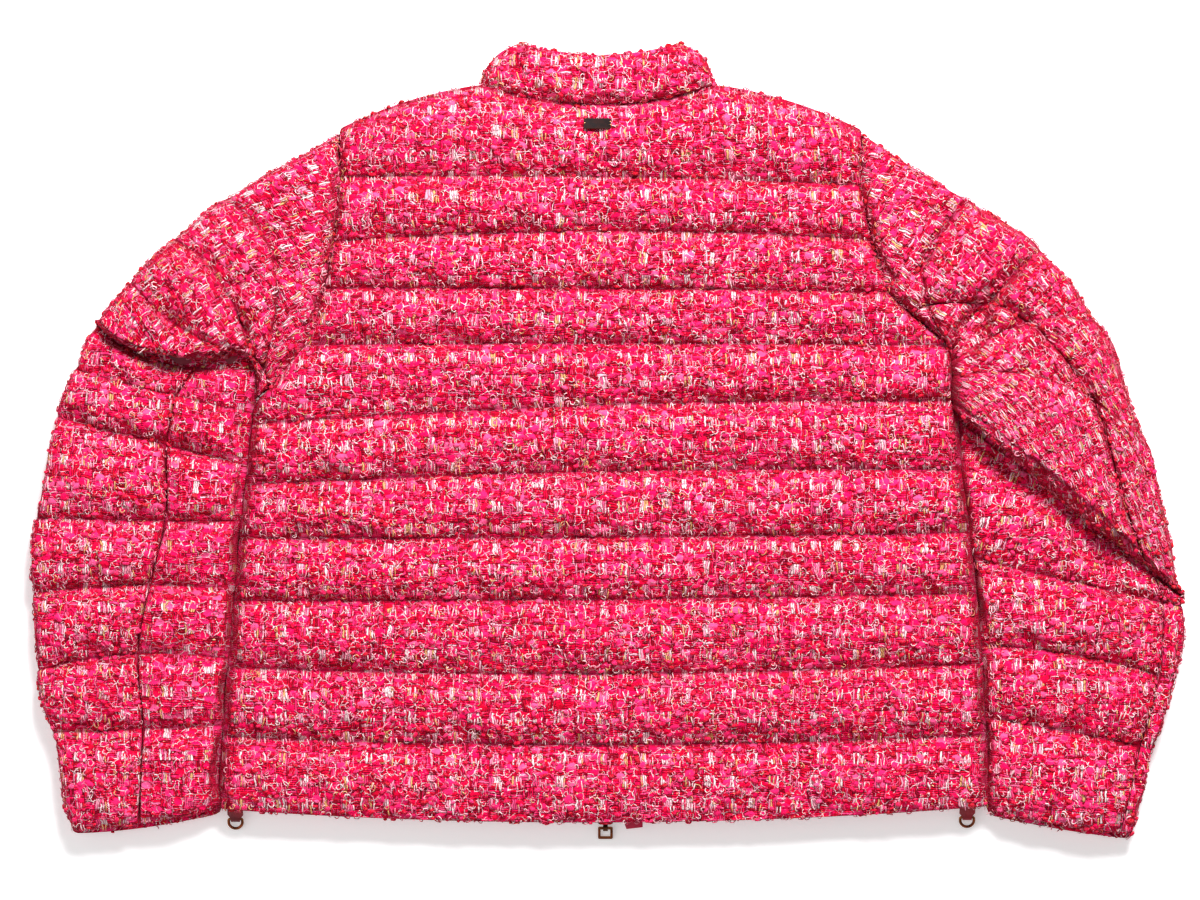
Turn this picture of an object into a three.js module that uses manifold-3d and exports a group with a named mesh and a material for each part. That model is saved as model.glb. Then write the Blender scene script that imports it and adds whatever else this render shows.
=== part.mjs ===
// A cropped puffer jacket in pink tweed, lying face down on a flat surface.
// Millimetres. +X to the wearer's right, +Y to the collar, +Z up, out of the back. The surface is z = 0.
import * as THREE from "three";
import { mergeVertices } from "three/addons/utils/BufferGeometryUtils.js";
import Module from "manifold-3d";

const manifold = await Module();
manifold.setup();

// ---- driving dimensions -------------------------------------------------------------------------

// A table of rows, each read by its column's name.
const tableOf = (columns, rows) => rows.map((values) =>
  Object.fromEntries(columns.split(" ").map((name, i) => [name, values[i]])));

const cloth = {
  meeting: 15,        // height at which the front half and the back half of the jacket meet
  between: 0.3,       // air between the two halves, and between neighbouring pieces
  puff: 14.4,         // wall over the middle of a quilted channel
  quilt: 5.6,         // wall at a quilting line
  seam: 6.5,          // wall at the armholes, shoulders and neck
  side: 3.4,          // wall at a side seam, where it rolls under
  hem: 7,             // wall at the hem
  groove: 7,          // how far a sleeve's quilting line lifts off the surface underneath
  bulge: 1.6,         // how far a channel swells past its quilting lines in outline
  foldWall: 6,        // padding inside the folded edge of a sleeve or of the collar
  seamSlack: 0.6,     // more air across a seam that runs at a slant
};

// Every third of a channel gets a section: on the line, then twice on the puff.
const sectionsPerChannel = 3;

// Rows of the body from shoulder to hem. row counts quilting lines; the rows between them are corners
// of an armhole. Each gives both ends of the line and its height at the centre back.
const bodyRows = tableOf("row leftX leftY centreY rightX rightY", [
  [0, -201, 232, 251, 191, 231],
  [1, -201, 196.5, 196.5, 189.5, 190.5],
  [2, -205, 148, 156, 199, 149],
  [3, -212.5, 113, 113, 211, 110],
  [3 + 2 / 3, -221.5, 85, 86, 230.5, 91],
  [4, -226, 71, 72, 257.5, 70],
  [4 + 1 / 3, -257.5, 44, 56.5, 257.5, 56],
  [4 + 2 / 3, -264.5, 30, 41, 258.5, 42.5],
  [5, -264.5, 11, 25.5, 259, 28.5],
  [6, -270.5, -34.5, -24, 265.5, -23],
  [7, -273.5, -74, -73.5, 270, -70],
  [8, -277, -121, -120, 274.5, -115.5],
  [9, -280, -171, -176, 279, -168],
  [10, -284, -223, -229, 282, -222],
  [11, -286, -277, -288, 284.5, -275],
]);
const lastRow = 11;
const armpitRow = { left: 4 + 1 / 3, right: 4 };

const neck = { leftX: -95, rightX: 81, pointY: 265, frontDrop: 60, shoulderArch: 5 };
const zip = {
  x: -1.5,
  opening: 9,         // from the middle of the zip to a front's edge
  tapeLow: 5.4, tapeHigh: 6.6, chainLow: 4.8, chainHigh: 7.2, chainHalf: 2.8,
  edgeLift: 3,        // how far a front's edge lifts off the surface beside the zip
  topY: 248,
  tapeStart: 5,       // from the hem to the tapes' lower ends
  chainStart: 4.5,    // from the slider's nose to the lowest teeth
};
const frontHemLift = 3;
const facing = { x: 11.5, width: 15, below: 5, toFront: 0.4, low: 13.2, high: 14.5 };

// The folded side edges of the collar, from its base seam to its top edge.
const collarRows = [
  { at: 0, leftX: -97, leftY: 267, rightX: 85.5, rightY: 267.5 },
  { at: 1 / 3, leftX: -92, leftY: 281, rightX: 79.5, rightY: 280 },
  { at: 2 / 3, leftX: -82.5, leftY: 291, rightX: 72, rightY: 290.5 },
  { at: 1, leftX: -69.5, leftY: 297.5, rightX: 58.5, rightY: 297.5 },
];
const collarTop = { backY: 287, frontY: 250 };

// Rings of a sleeve, from the armhole to the cuff. Each gives its outer, middle and inner point, the
// height of its quilting line or fold, the height of the channel that follows, the sections in that
// channel, and where the back and front seams cross it, from 0 at the outer fold to 1 at the inner one.
const sleeveColumns = "ox oy mx my ix iy line puff steps back front";
const leftSleeve = tableOf(sleeveColumns, [
  [-201, 232, -209, 133, -257.5, 44, 22, 33, 3, 0.798, 0.798],
  [-288, 180, -249, 128, -259.5, 47, 26, 36, 3, 0.79, 0.72],
  [-325, 149, -290, 115.5, -263, 52, 29, 39, 3, 0.77, 0.65],
  [-357, 118, -315, 79.5, -266, 58, 33, 41, 3, 0.75, 0.6],
  [-381, 90, -336, 61, -270.5, 64, 38, 30, 1, 0.73, 0.6],
  [-383, 86, -337.5, 54, -272, 53, 22, 29, 3, 0.72, 0.6],
  [-399, 52.5, -346, 38, -271.5, 32, 25, 31, 3, 0.66, 0.6],
  [-413, 17, -343, -1.5, -274, -20, 21, 31, 3, 0.58, 0.6],
  [-429, -59, -343, -61, -279.5, -61.5, 21, 31, 3, 0.58, 0.6],
  [-431, -115, -352, -109.5, -283.5, -112, 21, 31, 3, 0.555, 0.6],
  [-427, -174, -360, -161, -287, -165, 21, 30, 3, 0.55, 0.6],
  [-416.5, -220, -354.5, -217.5, -291, -214, 21, 30, 3, 0.55, 0.6],
  [-402.5, -291, -350.5, -287, -296.5, -276, 24, 24, 1, 0.49, 0.6],
]);
const rightSleeve = tableOf(sleeveColumns, [
  [191, 231, 202, 140, 257.5, 70, 22, 33, 3, 0.816, 0.816],
  [273.5, 179, 238, 128, 261.5, 68, 26, 36, 3, 0.74, 0.74],
  [324.5, 142, 297, 115, 263, 64.5, 27, 40, 3, 0.66, 0.68],
  [370, 85, 317, 88, 263.5, 58, 35, 44, 3, 0.52, 0.62],
  [408.5, -12, 339.5, 40.5, 263, 47, 41, 47, 3, 0.34, 0.6],
  [430, -113, 332, -25.5, 263.5, 27, 44, 30, 1, 0.14, 0.6],
  [431, -119, 328, -35, 266, 15, 22, 31, 3, 0.1, 0.6],
  [431, -125.5, 345, -106, 279, -88, 21, 31, 3, 0.08, 0.6],
  [426, -181, 350.5, -162, 284, -155, 21, 31, 3, 0.08, 0.6],
  [409.5, -233, 345.5, -219, 287, -209, 21, 30, 3, 0.08, 0.6],
  [392.5, -295, 341, -288, 290, -277, 24, 24, 1, 0.08, 0.6],
]);
const cuffPeek = 4;          // how far the under layer of a cuff reaches past the upper one

const plate = { x: -7.5, y: 235.8, length: 20.3, width: 7.8, thick: 1, lift: 0.8, corner: 0.8 };
const slider = {
  half: 6, back: -280, nose: -290, plateThick: 1.1, lowZ: 3.4, highZ: 7.6, corner: 2.5,
  postHalf: 2, postStart: 1, postEnd: 4, bite: 0.5,
  bridgeHalf: 1.8, armThick: 0.9, armStart: 1.9, armEnd: 1, eyeWall: 0.9,
};
const pull = {
  y: -293, z: 2.7, half: 5.6, reach: 8.4, bar: 1, frame: 2, thick: 1.5, hole: 1.5, tilt: 0.19,
  corner: 1, innerCorner: 0.4,
};
const tab = {
  half: 3.6, band: 1.3, loop: 2.35, hole: 1.45, barZ: 4.6, rootZ: 10.5, tipDrop: 11.5, rootIn: 1.5, bite: 0.4,
};
const ring = {
  half: 5.15, wire: 1.1, straight: 2.4, tilt: 0.3, corner: 1.2, turns: 14, cornerTurns: 3, sides: 10,
};
const ringX = { left: -280, right: 270.8 };

const finish = {
  tweed: { color: 0xe03468, roughness: 0.95, metalness: 0 },
  crimson: { color: 0x9c0f3a, roughness: 0.8, metalness: 0 },
  bronze: { color: 0x8a4a30, roughness: 0.35, metalness: 1 },
  darkBronze: { color: 0x3b2018, roughness: 0.5, metalness: 1 },
  zipTape: { color: 0x8e1238, roughness: 0.85, metalness: 0 },
};

// ---- small helpers ------------------------------------------------------------------------------

const mix = (a, b, f) => a + (b - a) * f;
const throughThree = (a, b, c, f) =>           // the parabola through a, b and c at f = 0, 1/2 and 1
  a * (1 - f) * (1 - 2 * f) + 4 * b * f * (1 - f) + c * f * (2 * f - 1);
const roundedEdge = (f, power) => (1 - Math.abs(2 * f - 1) ** power) ** (1 / power);

function between(rows, key, at, names) {       // a row of a table, read part of the way to the next
  let next = 1;
  while (next < rows.length - 1 && rows[next][key] < at - 1e-6) next += 1;
  const [a, b] = [rows[next - 1], rows[next]];
  const f = (at - a[key]) / (b[key] - a[key]);
  return Object.fromEntries(names.map((name) => [name, mix(a[name], b[name], f)]));
}

function smoothRow(rows, index, f, name) {     // a smooth curve through one column of a table
  const take = (i) => rows[Math.min(Math.max(i, 0), rows.length - 1)][name];
  const [p, a, b, q] = [take(index - 1), take(index), take(index + 1), take(index + 2)];
  const tension = 0.35;
  const [m0, m1] = [tension * (b - p), tension * (q - a)];
  const [f2, f3] = [f * f, f * f * f];
  return (2 * f3 - 3 * f2 + 1) * a + (f3 - 2 * f2 + f) * m0 + (3 * f2 - 2 * f3) * b + (f3 - f2) * m1;
}

// A closed wall: two grids of points of the same size, outside and inside, and the rim between them.
function wall(outer, inner, turned = false) {
  const rows = outer.length;
  const columns = outer[0].length;
  const positions = [...outer, ...inner].flat(2);
  const out = (i, j) => i * columns + j;
  const into = (i, j) => rows * columns + i * columns + j;
  const faces = [];
  const quad = (a, b, c, d) => faces.push(turned ? [a, c, b] : [a, b, c], turned ? [a, d, c] : [a, c, d]);
  for (let i = 0; i < rows - 1; i += 1) {
    for (let j = 0; j < columns - 1; j += 1) {
      quad(out(i, j), out(i + 1, j), out(i + 1, j + 1), out(i, j + 1));
      quad(into(i, j), into(i, j + 1), into(i + 1, j + 1), into(i + 1, j));
    }
    quad(out(i + 1, 0), out(i, 0), into(i, 0), into(i + 1, 0));
    quad(out(i, columns - 1), out(i + 1, columns - 1), into(i + 1, columns - 1), into(i, columns - 1));
  }
  for (let j = 0; j < columns - 1; j += 1) {
    quad(out(0, j), out(0, j + 1), into(0, j + 1), into(0, j));
    quad(out(rows - 1, j + 1), out(rows - 1, j), into(rows - 1, j), into(rows - 1, j + 1));
  }
  const geometry = new THREE.BufferGeometry();
  geometry.setAttribute("position", new THREE.Float32BufferAttribute(positions, 3));
  geometry.setIndex(faces.flat());
  return geometry;
}

function toSolid(geometry) {
  const plain = geometry.clone();
  plain.deleteAttribute("normal");
  plain.deleteAttribute("uv");
  const merged = mergeVertices(plain, 1e-4);
  return new manifold.Manifold(new manifold.Mesh({
    numProp: 3,
    vertProperties: new Float32Array(merged.attributes.position.array),
    triVerts: new Uint32Array(merged.index.array),
  }));
}

function joined(geometries) {                  // one solid from several that overlap
  const whole = geometries.map(toSolid).reduce((a, b) => a.add(b));
  const mesh = whole.getMesh();
  const geometry = new THREE.BufferGeometry();
  geometry.setAttribute("position", new THREE.Float32BufferAttribute(mesh.vertProperties, 3));
  geometry.setIndex(Array.from(mesh.triVerts));
  return geometry;
}

const box = (x0, x1, y0, y1, z0, z1) =>
  new THREE.BoxGeometry(x1 - x0, y1 - y0, z1 - z0).translate((x0 + x1) / 2, (y0 + y1) / 2, (z0 + z1) / 2);

function roundedRectangle(Kind, x0, x1, y0, y1, radius) {
  const outline = new Kind();
  outline.moveTo(x0 + radius, y0);
  outline.lineTo(x1 - radius, y0).absarc(x1 - radius, y0 + radius, radius, -Math.PI / 2, 0);
  outline.lineTo(x1, y1 - radius).absarc(x1 - radius, y1 - radius, radius, 0, Math.PI / 2);
  outline.lineTo(x0 + radius, y1).absarc(x0 + radius, y1 - radius, radius, Math.PI / 2, Math.PI);
  outline.lineTo(x0, y0 + radius).absarc(x0 + radius, y0 + radius, radius, Math.PI, Math.PI * 1.5);
  return outline;
}

const extruded = (shape, depth, curveSegments = 6) =>
  new THREE.ExtrudeGeometry(shape, { depth, bevelEnabled: false, curveSegments });

// A profile drawn in (y, z) and drawn out along x, centred on x = 0.
const alongX = (shape, half, curveSegments = 8) =>
  extruded(shape, 2 * half, curveSegments).rotateX(Math.PI / 2).rotateZ(Math.PI / 2).translate(-half, 0, 0);

// ---- body ---------------------------------------------------------------------------------------

const edgeNames = ["leftX", "leftY", "centreY", "rightX", "rightY"];
const bodyRow = (row) => between(bodyRows, "row", row, edgeNames);

// How full a channel is at a row: 0 on a quilting line, 1 on the puff between two.
const fullness = (row) => (Math.abs(row - Math.round(row)) < 0.01 ? 0 : 1);
const sectionRows = Array.from(
  { length: lastRow * sectionsPerChannel + 1 }, (_, i) => i / sectionsPerChannel,
);

const bodyColumns = [0, 0.014, 0.05, 0.12, 0.2, 0.27, 0.38, 0.5, 0.61, 0.72, 0.79, 0.88, 0.95, 0.986, 1];
const neckColumns = { left: 0.27, right: 0.72 };

// The upper edge of the back at a column: shoulder, neck seam, shoulder.
function backTop(s) {
  const { leftX, leftY, rightX, rightY } = bodyRows[0];
  const arch = (f) => 4 * neck.shoulderArch * f * (1 - f);
  if (s < neckColumns.left) {
    const f = s / neckColumns.left;
    return [mix(leftX, neck.leftX, f), mix(leftY, neck.pointY, f) + arch(f)];
  }
  if (s > neckColumns.right) {
    const f = (1 - s) / (1 - neckColumns.right);
    return [mix(rightX, neck.rightX, f), mix(rightY, neck.pointY, f) + arch(f)];
  }
  const f = (s - neckColumns.left) / (neckColumns.right - neckColumns.left);
  return [mix(neck.leftX, neck.rightX, f), throughThree(neck.pointY, bodyRows[0].centreY, neck.pointY, f)];
}

function bodyLine(s, row) {                    // a point of a quilting line, or of a section between two
  const { leftX, leftY, centreY, rightX, rightY } = bodyRow(row);
  const armholeGap = cloth.between + cloth.seamSlack;
  const inset = row <= armpitRow.left ? armholeGap : 0;
  const insetRight = row <= armpitRow.right ? armholeGap : 0;
  const swell = row > armpitRow.left ? cloth.bulge * fullness(row) : 0;
  return [
    mix(leftX + inset - swell, rightX - insetRight + swell, s),
    throughThree(leftY, centreY, rightY, s),
  ];
}

function backPlan(s, row) {
  if (row >= 1) return bodyLine(s, row);
  const [topX, topY] = backTop(s);
  const [lineX, lineY] = bodyLine(s, 1);
  const gap = cloth.between + cloth.seamSlack;
  const inset = s === 0 ? gap : s === 1 ? -gap : 0;
  return [mix(topX + inset, lineX, row), mix(topY, lineY, row)];
}

// Wall of the body at a column and a row.
function bodyWall(s, row) {
  const atArmhole = s < 0.5 ? row <= armpitRow.left : row <= armpitRow.right;
  const edge = atArmhole ? cloth.seam : cloth.side;
  const across = roundedEdge(s, atArmhole ? 12 : 7);
  const lineWall = row === 0 ? cloth.seam : row === lastRow ? cloth.hem : cloth.quilt;
  const along = mix(lineWall, cloth.puff, fullness(row));
  return mix(Math.min(edge, along), along, across);
}

const backHalfTop = cloth.meeting + cloth.between / 2;
const frontHalfTop = cloth.meeting - cloth.between / 2;

function backPanel() {
  const grid = (z) => sectionRows.map((row) => bodyColumns.map((s) => [...backPlan(s, row), z(s, row)]));
  return wall(grid((s, row) => backHalfTop + bodyWall(s, row)), grid(() => backHalfTop));
}

// A front runs from its side seam and shoulder to the zip, and its neckline drops below the back's.
const neckCurve = (f) => [1 - Math.cos(f * Math.PI / 2), Math.sin(f * Math.PI / 2)];

function frontPanel(side) {
  const sign = side === "left" ? -1 : 1;
  const zipX = zip.x + sign * zip.opening;
  const outerColumns = side === "left"
    ? bodyColumns.filter((s) => s <= neckColumns.left)
    : bodyColumns.filter((s) => s >= neckColumns.right).reverse();
  const neckX = side === "left" ? neck.leftX : neck.rightX;
  const neckColumn = neckColumns[side];
  const innerColumns = [0.25, 0.5, 0.75, 1];
  const hemLift = (row) => (row === lastRow ? frontHemLift : 0);

  const innerPlan = (f, row) => {
    const [startX] = bodyLine(neckColumn, Math.max(row, 1));
    const x = mix(startX, zipX, f);
    const { leftX, leftY, centreY, rightX, rightY } = bodyRow(Math.max(row, 1));
    const y = throughThree(leftY, centreY, rightY, (x - leftX) / (rightX - leftX));
    if (row >= 1) return [x, y + hemLift(row)];
    const [along, down] = neckCurve(f);
    return [mix(mix(neckX, zipX, along), x, row), mix(neck.pointY - neck.frontDrop * down, y, row)];
  };
  const plan = (column, row) => {
    if (column.inner !== undefined) return innerPlan(column.inner, row);
    const [x, y] = backPlan(column.outer, row);
    return [x, y + hemLift(row)];
  };
  const underside = (column, row) => {
    const level = frontHalfTop - cloth.puff;
    const zipEdge = column.inner === 1 ? zip.edgeLift : 0;
    return Math.max(frontHalfTop - bodyWall(column.outer ?? 0.5, row) - level, zipEdge);
  };
  const columns = [
    ...outerColumns.map((outer) => ({ outer })),
    ...innerColumns.map((inner) => ({ inner })),
  ];
  const grid = (z) => sectionRows.map((row) =>
    columns.map((column) => [...plan(column, row), z(column, row)]));
  return wall(grid(underside), grid(() => frontHalfTop), side === "left");
}

// ---- collar -------------------------------------------------------------------------------------

// One strip: from the zip round the left fold, across the back, round the right fold to the zip.
// Its base follows the neck edges of the back and the fronts, corner for corner.
function collarStrip() {
  const neckPlaces = bodyColumns.filter((s) => s >= neckColumns.left && s <= neckColumns.right);
  const acrossNeck = (s) => (s - neckPlaces[0]) / (neckPlaces.at(-1) - neckPlaces[0]);
  const stations = [
    ...[1, 0.75, 0.5, 0.25, 0].map((f) => ({ layer: "front", side: "left", f })),
    { layer: "fold", side: "left" },
    ...neckPlaces.map((s) => ({ layer: "back", s, f: acrossNeck(s) })),
    { layer: "fold", side: "right" },
    ...[0, 0.25, 0.5, 0.75, 1].map((f) => ({ layer: "front", side: "right", f })),
  ];
  const [baseFolds, topFolds] = [collarRows[0], collarRows.at(-1)];
  const gap = cloth.between + cloth.seamSlack / 2;
  const foldSlack = 0.4;               // more air where the base seam meets a fold
  const frontLevel = 4;                // the front layer's height at its seam and its top edge
  const atFold = 0.55;                 // the share of the wall that is left beside a fold
  const foldOf = (row, side) => [row[`${side}X`], row[`${side}Y`]];
  const basePoint = ({ layer, side, s, f }) => {
    if (layer === "back") {
      const [x, y] = backTop(s);
      return [x, y + gap + (f === 0 || f === 1 ? foldSlack : 0)];
    }
    const sign = side === "left" ? 1 : -1;
    const zipX = zip.x - sign * zip.opening;
    const [along, down] = neckCurve(f);
    const point = [mix(neck[`${side}X`], zipX, along), neck.pointY - neck.frontDrop * down];
    return [point[0] + sign * gap * (1 - along), point[1] + gap * Math.max(down, 0.5)];
  };
  const topPoint = ({ layer, side, f }) => {
    const place = mix(0.06, 0.94, f);
    if (layer === "back") {
      return [mix(topFolds.leftX, topFolds.rightX, place),
        throughThree(topFolds.leftY, collarTop.backY, topFolds.rightY, place)];
    }
    const [foldX, foldY] = foldOf(topFolds, side);
    const [along, down] = neckCurve(mix(0.15, 1, f));
    const zipX = zip.x + (side === "left" ? -1 : 1) * zip.opening;
    return [mix(foldX, zipX, along), mix(foldY, collarTop.frontY, down)];
  };
  const plan = (station, row, inset) => {
    if (station.layer === "fold") {
      const [x, y] = foldOf(row, station.side);
      return [x + (station.side === "left" ? inset : -inset), y];
    }
    const [base, top] = [basePoint(station), topPoint(station)];
    const side = station.side ?? (station.f < 0.5 ? "left" : "right");
    const near = station.layer === "back" ? Math.abs(2 * station.f - 1) ** 4 : (1 - station.f) ** 3;
    return [0, 1].map((axis) => {
      const straight = mix(foldOf(baseFolds, side)[axis], foldOf(topFolds, side)[axis], row.at);
      return mix(base[axis], top[axis], row.at) + near * (foldOf(row, side)[axis] - straight);
    });
  };
  const thick = (station, at) => {
    const along = at === 0 ? cloth.seam : at === 1 ? cloth.seam + 1 : cloth.puff - 2;
    return along * mix(atFold, 1, roundedEdge(station.f, 4));
  };
  const outer = collarRows.map((row) => stations.map((station) => {
    const level = station.layer === "fold" ? cloth.meeting
      : station.layer === "back" ? backHalfTop + thick(station, row.at)
        : row.at === 0 || row.at === 1 ? frontLevel : 0;
    return [...plan(station, row, 0), level];
  }));
  const inner = collarRows.map((row) => stations.map((station) => {
    const level = station.layer === "fold" ? cloth.meeting
      : station.layer === "back" ? backHalfTop : frontHalfTop;
    return [...plan(station, row, cloth.foldWall), level];
  }));
  return wall(outer, inner, true);
}

// ---- sleeves ------------------------------------------------------------------------------------

const armholeCorners = {
  left: [0, 1, 2, 3, 4, 4 + 1 / 3].map((row) => [bodyRow(row).leftX, bodyRow(row).leftY]),
  right: [0, 1, 2, 3, 3 + 2 / 3, 4].map((row) => [bodyRow(row).rightX, bodyRow(row).rightY]),
};

// Each corner's place along its armhole, from 0 at the shoulder to 1 at the armpit.
function cornerPlaces(corners) {
  const lengths = corners.map((corner, i) => (i === 0 ? 0
    : Math.hypot(corner[0] - corners[i - 1][0], corner[1] - corners[i - 1][1])));
  const total = lengths.reduce((sum, length) => sum + length, 0);
  let run = 0;
  return lengths.map((length) => {
    run += length;
    return run / total;
  });
}

function alongArmhole(corners, places, v) {
  let next = 1;
  while (next < places.length - 1 && places[next] < v - 1e-6) next += 1;
  const f = (v - places[next - 1]) / (places[next] - places[next - 1]);
  return [mix(corners[next - 1][0], corners[next][0], f), mix(corners[next - 1][1], corners[next][1], f)];
}

// The sections of a sleeve: each with its plan curve, height and seam places.
function sleeveSections(rings, side) {
  const sign = side === "left" ? -1 : 1;
  const innerSwell = 0.6;                      // a channel swells less on the side of the body
  const corners = armholeCorners[side];
  const places = cornerPlaces(corners);
  const sections = [];
  rings.forEach((ring, index) => {
    const steps = index === rings.length - 1 ? 1 : ring.steps;
    for (let step = 0; step < steps; step += 1) {
      const f = step / ring.steps;
      const full = step === 0 ? 0 : 1;
      const value = (name) => smoothRow(rings, index, f, name);
      const linear = (name) => (step === 0 ? ring[name] : mix(ring[name], rings[index + 1][name], f));
      const swell = cloth.bulge * full;
      const curve = (v) => [
        throughThree(value("ox") + sign * swell, value("mx"), value("ix") - sign * swell * innerSwell, v),
        throughThree(value("oy"), value("my"), value("iy"), v),
      ];
      sections.push({
        plan: index === 0 && step === 0 ? (v) => alongArmhole(corners, places, v) : curve,
        top: full ? ring.puff : ring.line,
        floor: full ? 0 : cloth.groove,
        back: linear("back"),
        front: linear("front"),
        isCuff: index === rings.length - 1,
      });
    }
  });
  return { sections, places };
}

function sleevePiece(rings, side, piece) {
  const { sections, places } = sleeveSections(rings, side);
  const [nearFold, farFold] = [0.07, 0.93];
  const [backPower, rollUnder] = [3, 0.25];   // how full the back is, how far an edge rolls under
  const armholeBack = places[places.length - 2];
  const outerPart = [nearFold, ...places.slice(1, -1)].map((v) => v / armholeBack);
  const innerPart = [0, 0.3, 0.62, 0.86];
  // Stations run over the fold: from the front seam, under it, to the back seam, over it.
  const stations = piece === "top"
    ? [...[...outerPart].reverse().map((f) => ({ layer: -1, f })), { layer: 0, f: 0 },
      ...outerPart.map((f) => ({ layer: 1, f }))]
    : [...innerPart.map((f) => ({ layer: 1, f })), { layer: 0, f: 1 },
      ...[...innerPart].reverse().map((f) => ({ layer: -1, f }))];
  const place = (section, station) => {
    const seamAt = station.layer > 0 ? section.back : section.front;
    const width = Math.hypot(...section.plan(0).map((a, i) => a - section.plan(1)[i]));
    const gap = (cloth.between + cloth.seamSlack / 2) / 2 / width;
    if (station.layer === 0) return { v: station.f, width };
    if (piece === "top") return { v: Math.min(seamAt * station.f, seamAt - gap), width };
    return { v: Math.max(mix(seamAt, 1, station.f), seamAt + gap), width };
  };
  const outside = (section, station) => {
    const { v } = place(section, station);
    const [x, y] = section.plan(v);
    if (station.layer === 0) return [x, y, cloth.meeting];
    const peek = section.isCuff && station.layer < 0 ? cuffPeek : 0;
    if (station.layer > 0) return [x, y, mix(cloth.meeting, section.top, roundedEdge(v, backPower))];
    const under = v < nearFold + 0.001 || v > farFold ? rollUnder : 0;
    return [x, y - peek, mix(section.floor, cloth.meeting, under)];
  };
  const inside = (section, station) => {
    const { v, width } = place(section, station);
    const hold = cloth.foldWall / width;
    const [x, y] = section.plan(station.layer === 0 ? Math.abs(v - hold) : v);
    const peek = section.isCuff && station.layer < 0 ? cuffPeek : 0;
    return [x, y - peek, cloth.meeting + station.layer * cloth.between / 2];
  };
  return wall(
    sections.map((section) => stations.map((station) => outside(section, station))),
    sections.map((section) => stations.map((station) => inside(section, station))),
    side === "right",
  );
}

// ---- zip, plate, tabs and rings ------------------------------------------------------------------

const hemY = bodyRows[bodyRows.length - 1].centreY;

function zipTape(sign) {
  const inner = zip.x + sign * (zip.chainHalf + cloth.between);
  const outer = zip.x + sign * (zip.opening - cloth.between);
  const [low, high] = [Math.min(inner, outer), Math.max(inner, outer)];
  return box(low, high, hemY + zip.tapeStart, zip.topY, zip.tapeLow, zip.tapeHigh);
}

const zipChain = () => box(zip.x - zip.chainHalf, zip.x + zip.chainHalf,
  slider.nose + zip.chainStart, zip.topY, zip.chainLow, zip.chainHigh);

// The corner of plain cloth that faces the right front's hem, just where it shows.
const hemFacing = () => box(facing.x, facing.x + facing.width,
  hemY - facing.below, hemY + frontHemLift - facing.toFront, facing.low, facing.high);

function sliderBody() {
  const plateAt = (z) => extruded(
    roundedRectangle(THREE.Shape,
      zip.x - slider.half, zip.x + slider.half, slider.nose, slider.back, slider.corner),
    slider.plateThick, 3).translate(0, 0, z);
  const post = box(zip.x - slider.postHalf, zip.x + slider.postHalf,
    slider.nose + slider.postStart, slider.nose + slider.postEnd,
    slider.lowZ + slider.bite, slider.highZ + slider.bite);
  const reach = pull.hole + slider.eyeWall;
  const arm = box(zip.x - slider.bridgeHalf, zip.x + slider.bridgeHalf,
    pull.y + slider.armStart, slider.back - slider.armEnd,
    slider.lowZ + slider.bite - slider.armThick, slider.lowZ + slider.bite);
  const eye = new THREE.Shape();
  eye.absarc(pull.y, pull.z, reach, 0, Math.PI * 2);
  const hole = new THREE.Path();
  hole.absarc(pull.y, pull.z, pull.hole, 0, Math.PI * 2);
  eye.holes.push(hole);
  const loop = alongX(eye, slider.bridgeHalf, 10).translate(zip.x, 0, 0);
  return joined([plateAt(slider.lowZ), plateAt(slider.highZ), post, arm, loop]);
}

function pullTab() {
  const { half, reach, bar, frame, thick } = pull;
  const outline = roundedRectangle(THREE.Shape, -half, half, -reach, bar, pull.corner);
  outline.holes.push(roundedRectangle(THREE.Path,
    -half + frame, half - frame, -reach + frame, -bar, pull.innerCorner));
  const blade = extruded(outline, thick, 3).translate(0, 0, -thick / 2);
  return blade.rotateX(pull.tilt).translate(zip.x, pull.y, pull.z);
}

function neckPlate() {
  const { length, width, thick, corner } = plate;
  const outline = roundedRectangle(THREE.Shape, -length / 2, length / 2, -width / 2, width / 2, corner);
  return extruded(outline, thick, 3);
}

// The back's outer surface under the plate: its height there, and its slope down to the neck seam.
function plateSeat() {
  const [, seamY] = backPlan(0.5, 0);
  const [, puffY] = backPlan(0.5, 1 / sectionsPerChannel);
  const f = (plate.y - seamY) / (puffY - seamY);
  return {
    height: backHalfTop + mix(cloth.seam, cloth.puff, f) + plate.lift,
    slope: Math.atan2(cloth.puff - cloth.seam, seamY - puffY),
  };
}

// A tab of folded tape below a lower corner, with the straight bar of a ring through its loop.
const frontHemAt = (x) => {
  const { leftX, leftY, centreY, rightX, rightY } = bodyRow(lastRow);
  return throughThree(leftY, centreY, rightY, (x - leftX) / (rightX - leftX)) + frontHemLift;
};
const corners = {
  left: { x: ringX.left, hem: frontHemAt(ringX.left) },
  right: { x: ringX.right, hem: frontHemAt(ringX.right) },
};

function tabTape({ x, hem }) {
  const barY = hem - tab.tipDrop;
  const rootY = hem - tab.rootIn;
  const slope = Math.atan2(tab.rootZ - tab.barZ, rootY - barY);
  const strip = new THREE.Shape();
  const corner = (y, z, side) =>
    [y - side * tab.band * Math.sin(slope), z + side * tab.band * Math.cos(slope)];
  const start = tab.hole + tab.bite;
  const [startY, startZ] = [barY + start * Math.cos(slope), tab.barZ + start * Math.sin(slope)];
  strip.moveTo(...corner(startY, startZ, -1));
  strip.lineTo(...corner(rootY, tab.rootZ, -1));
  strip.lineTo(...corner(rootY, tab.rootZ, 1));
  strip.lineTo(...corner(startY, startZ, 1));
  const loop = new THREE.Shape();
  loop.absarc(barY, tab.barZ, tab.loop, 0, Math.PI * 2);
  const hole = new THREE.Path();
  hole.absarc(barY, tab.barZ, tab.hole, 0, Math.PI * 2);
  loop.holes.push(hole);
  return joined([alongX(loop, tab.half, 8), alongX(strip, tab.half)]).translate(x, 0, 0);
}

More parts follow.
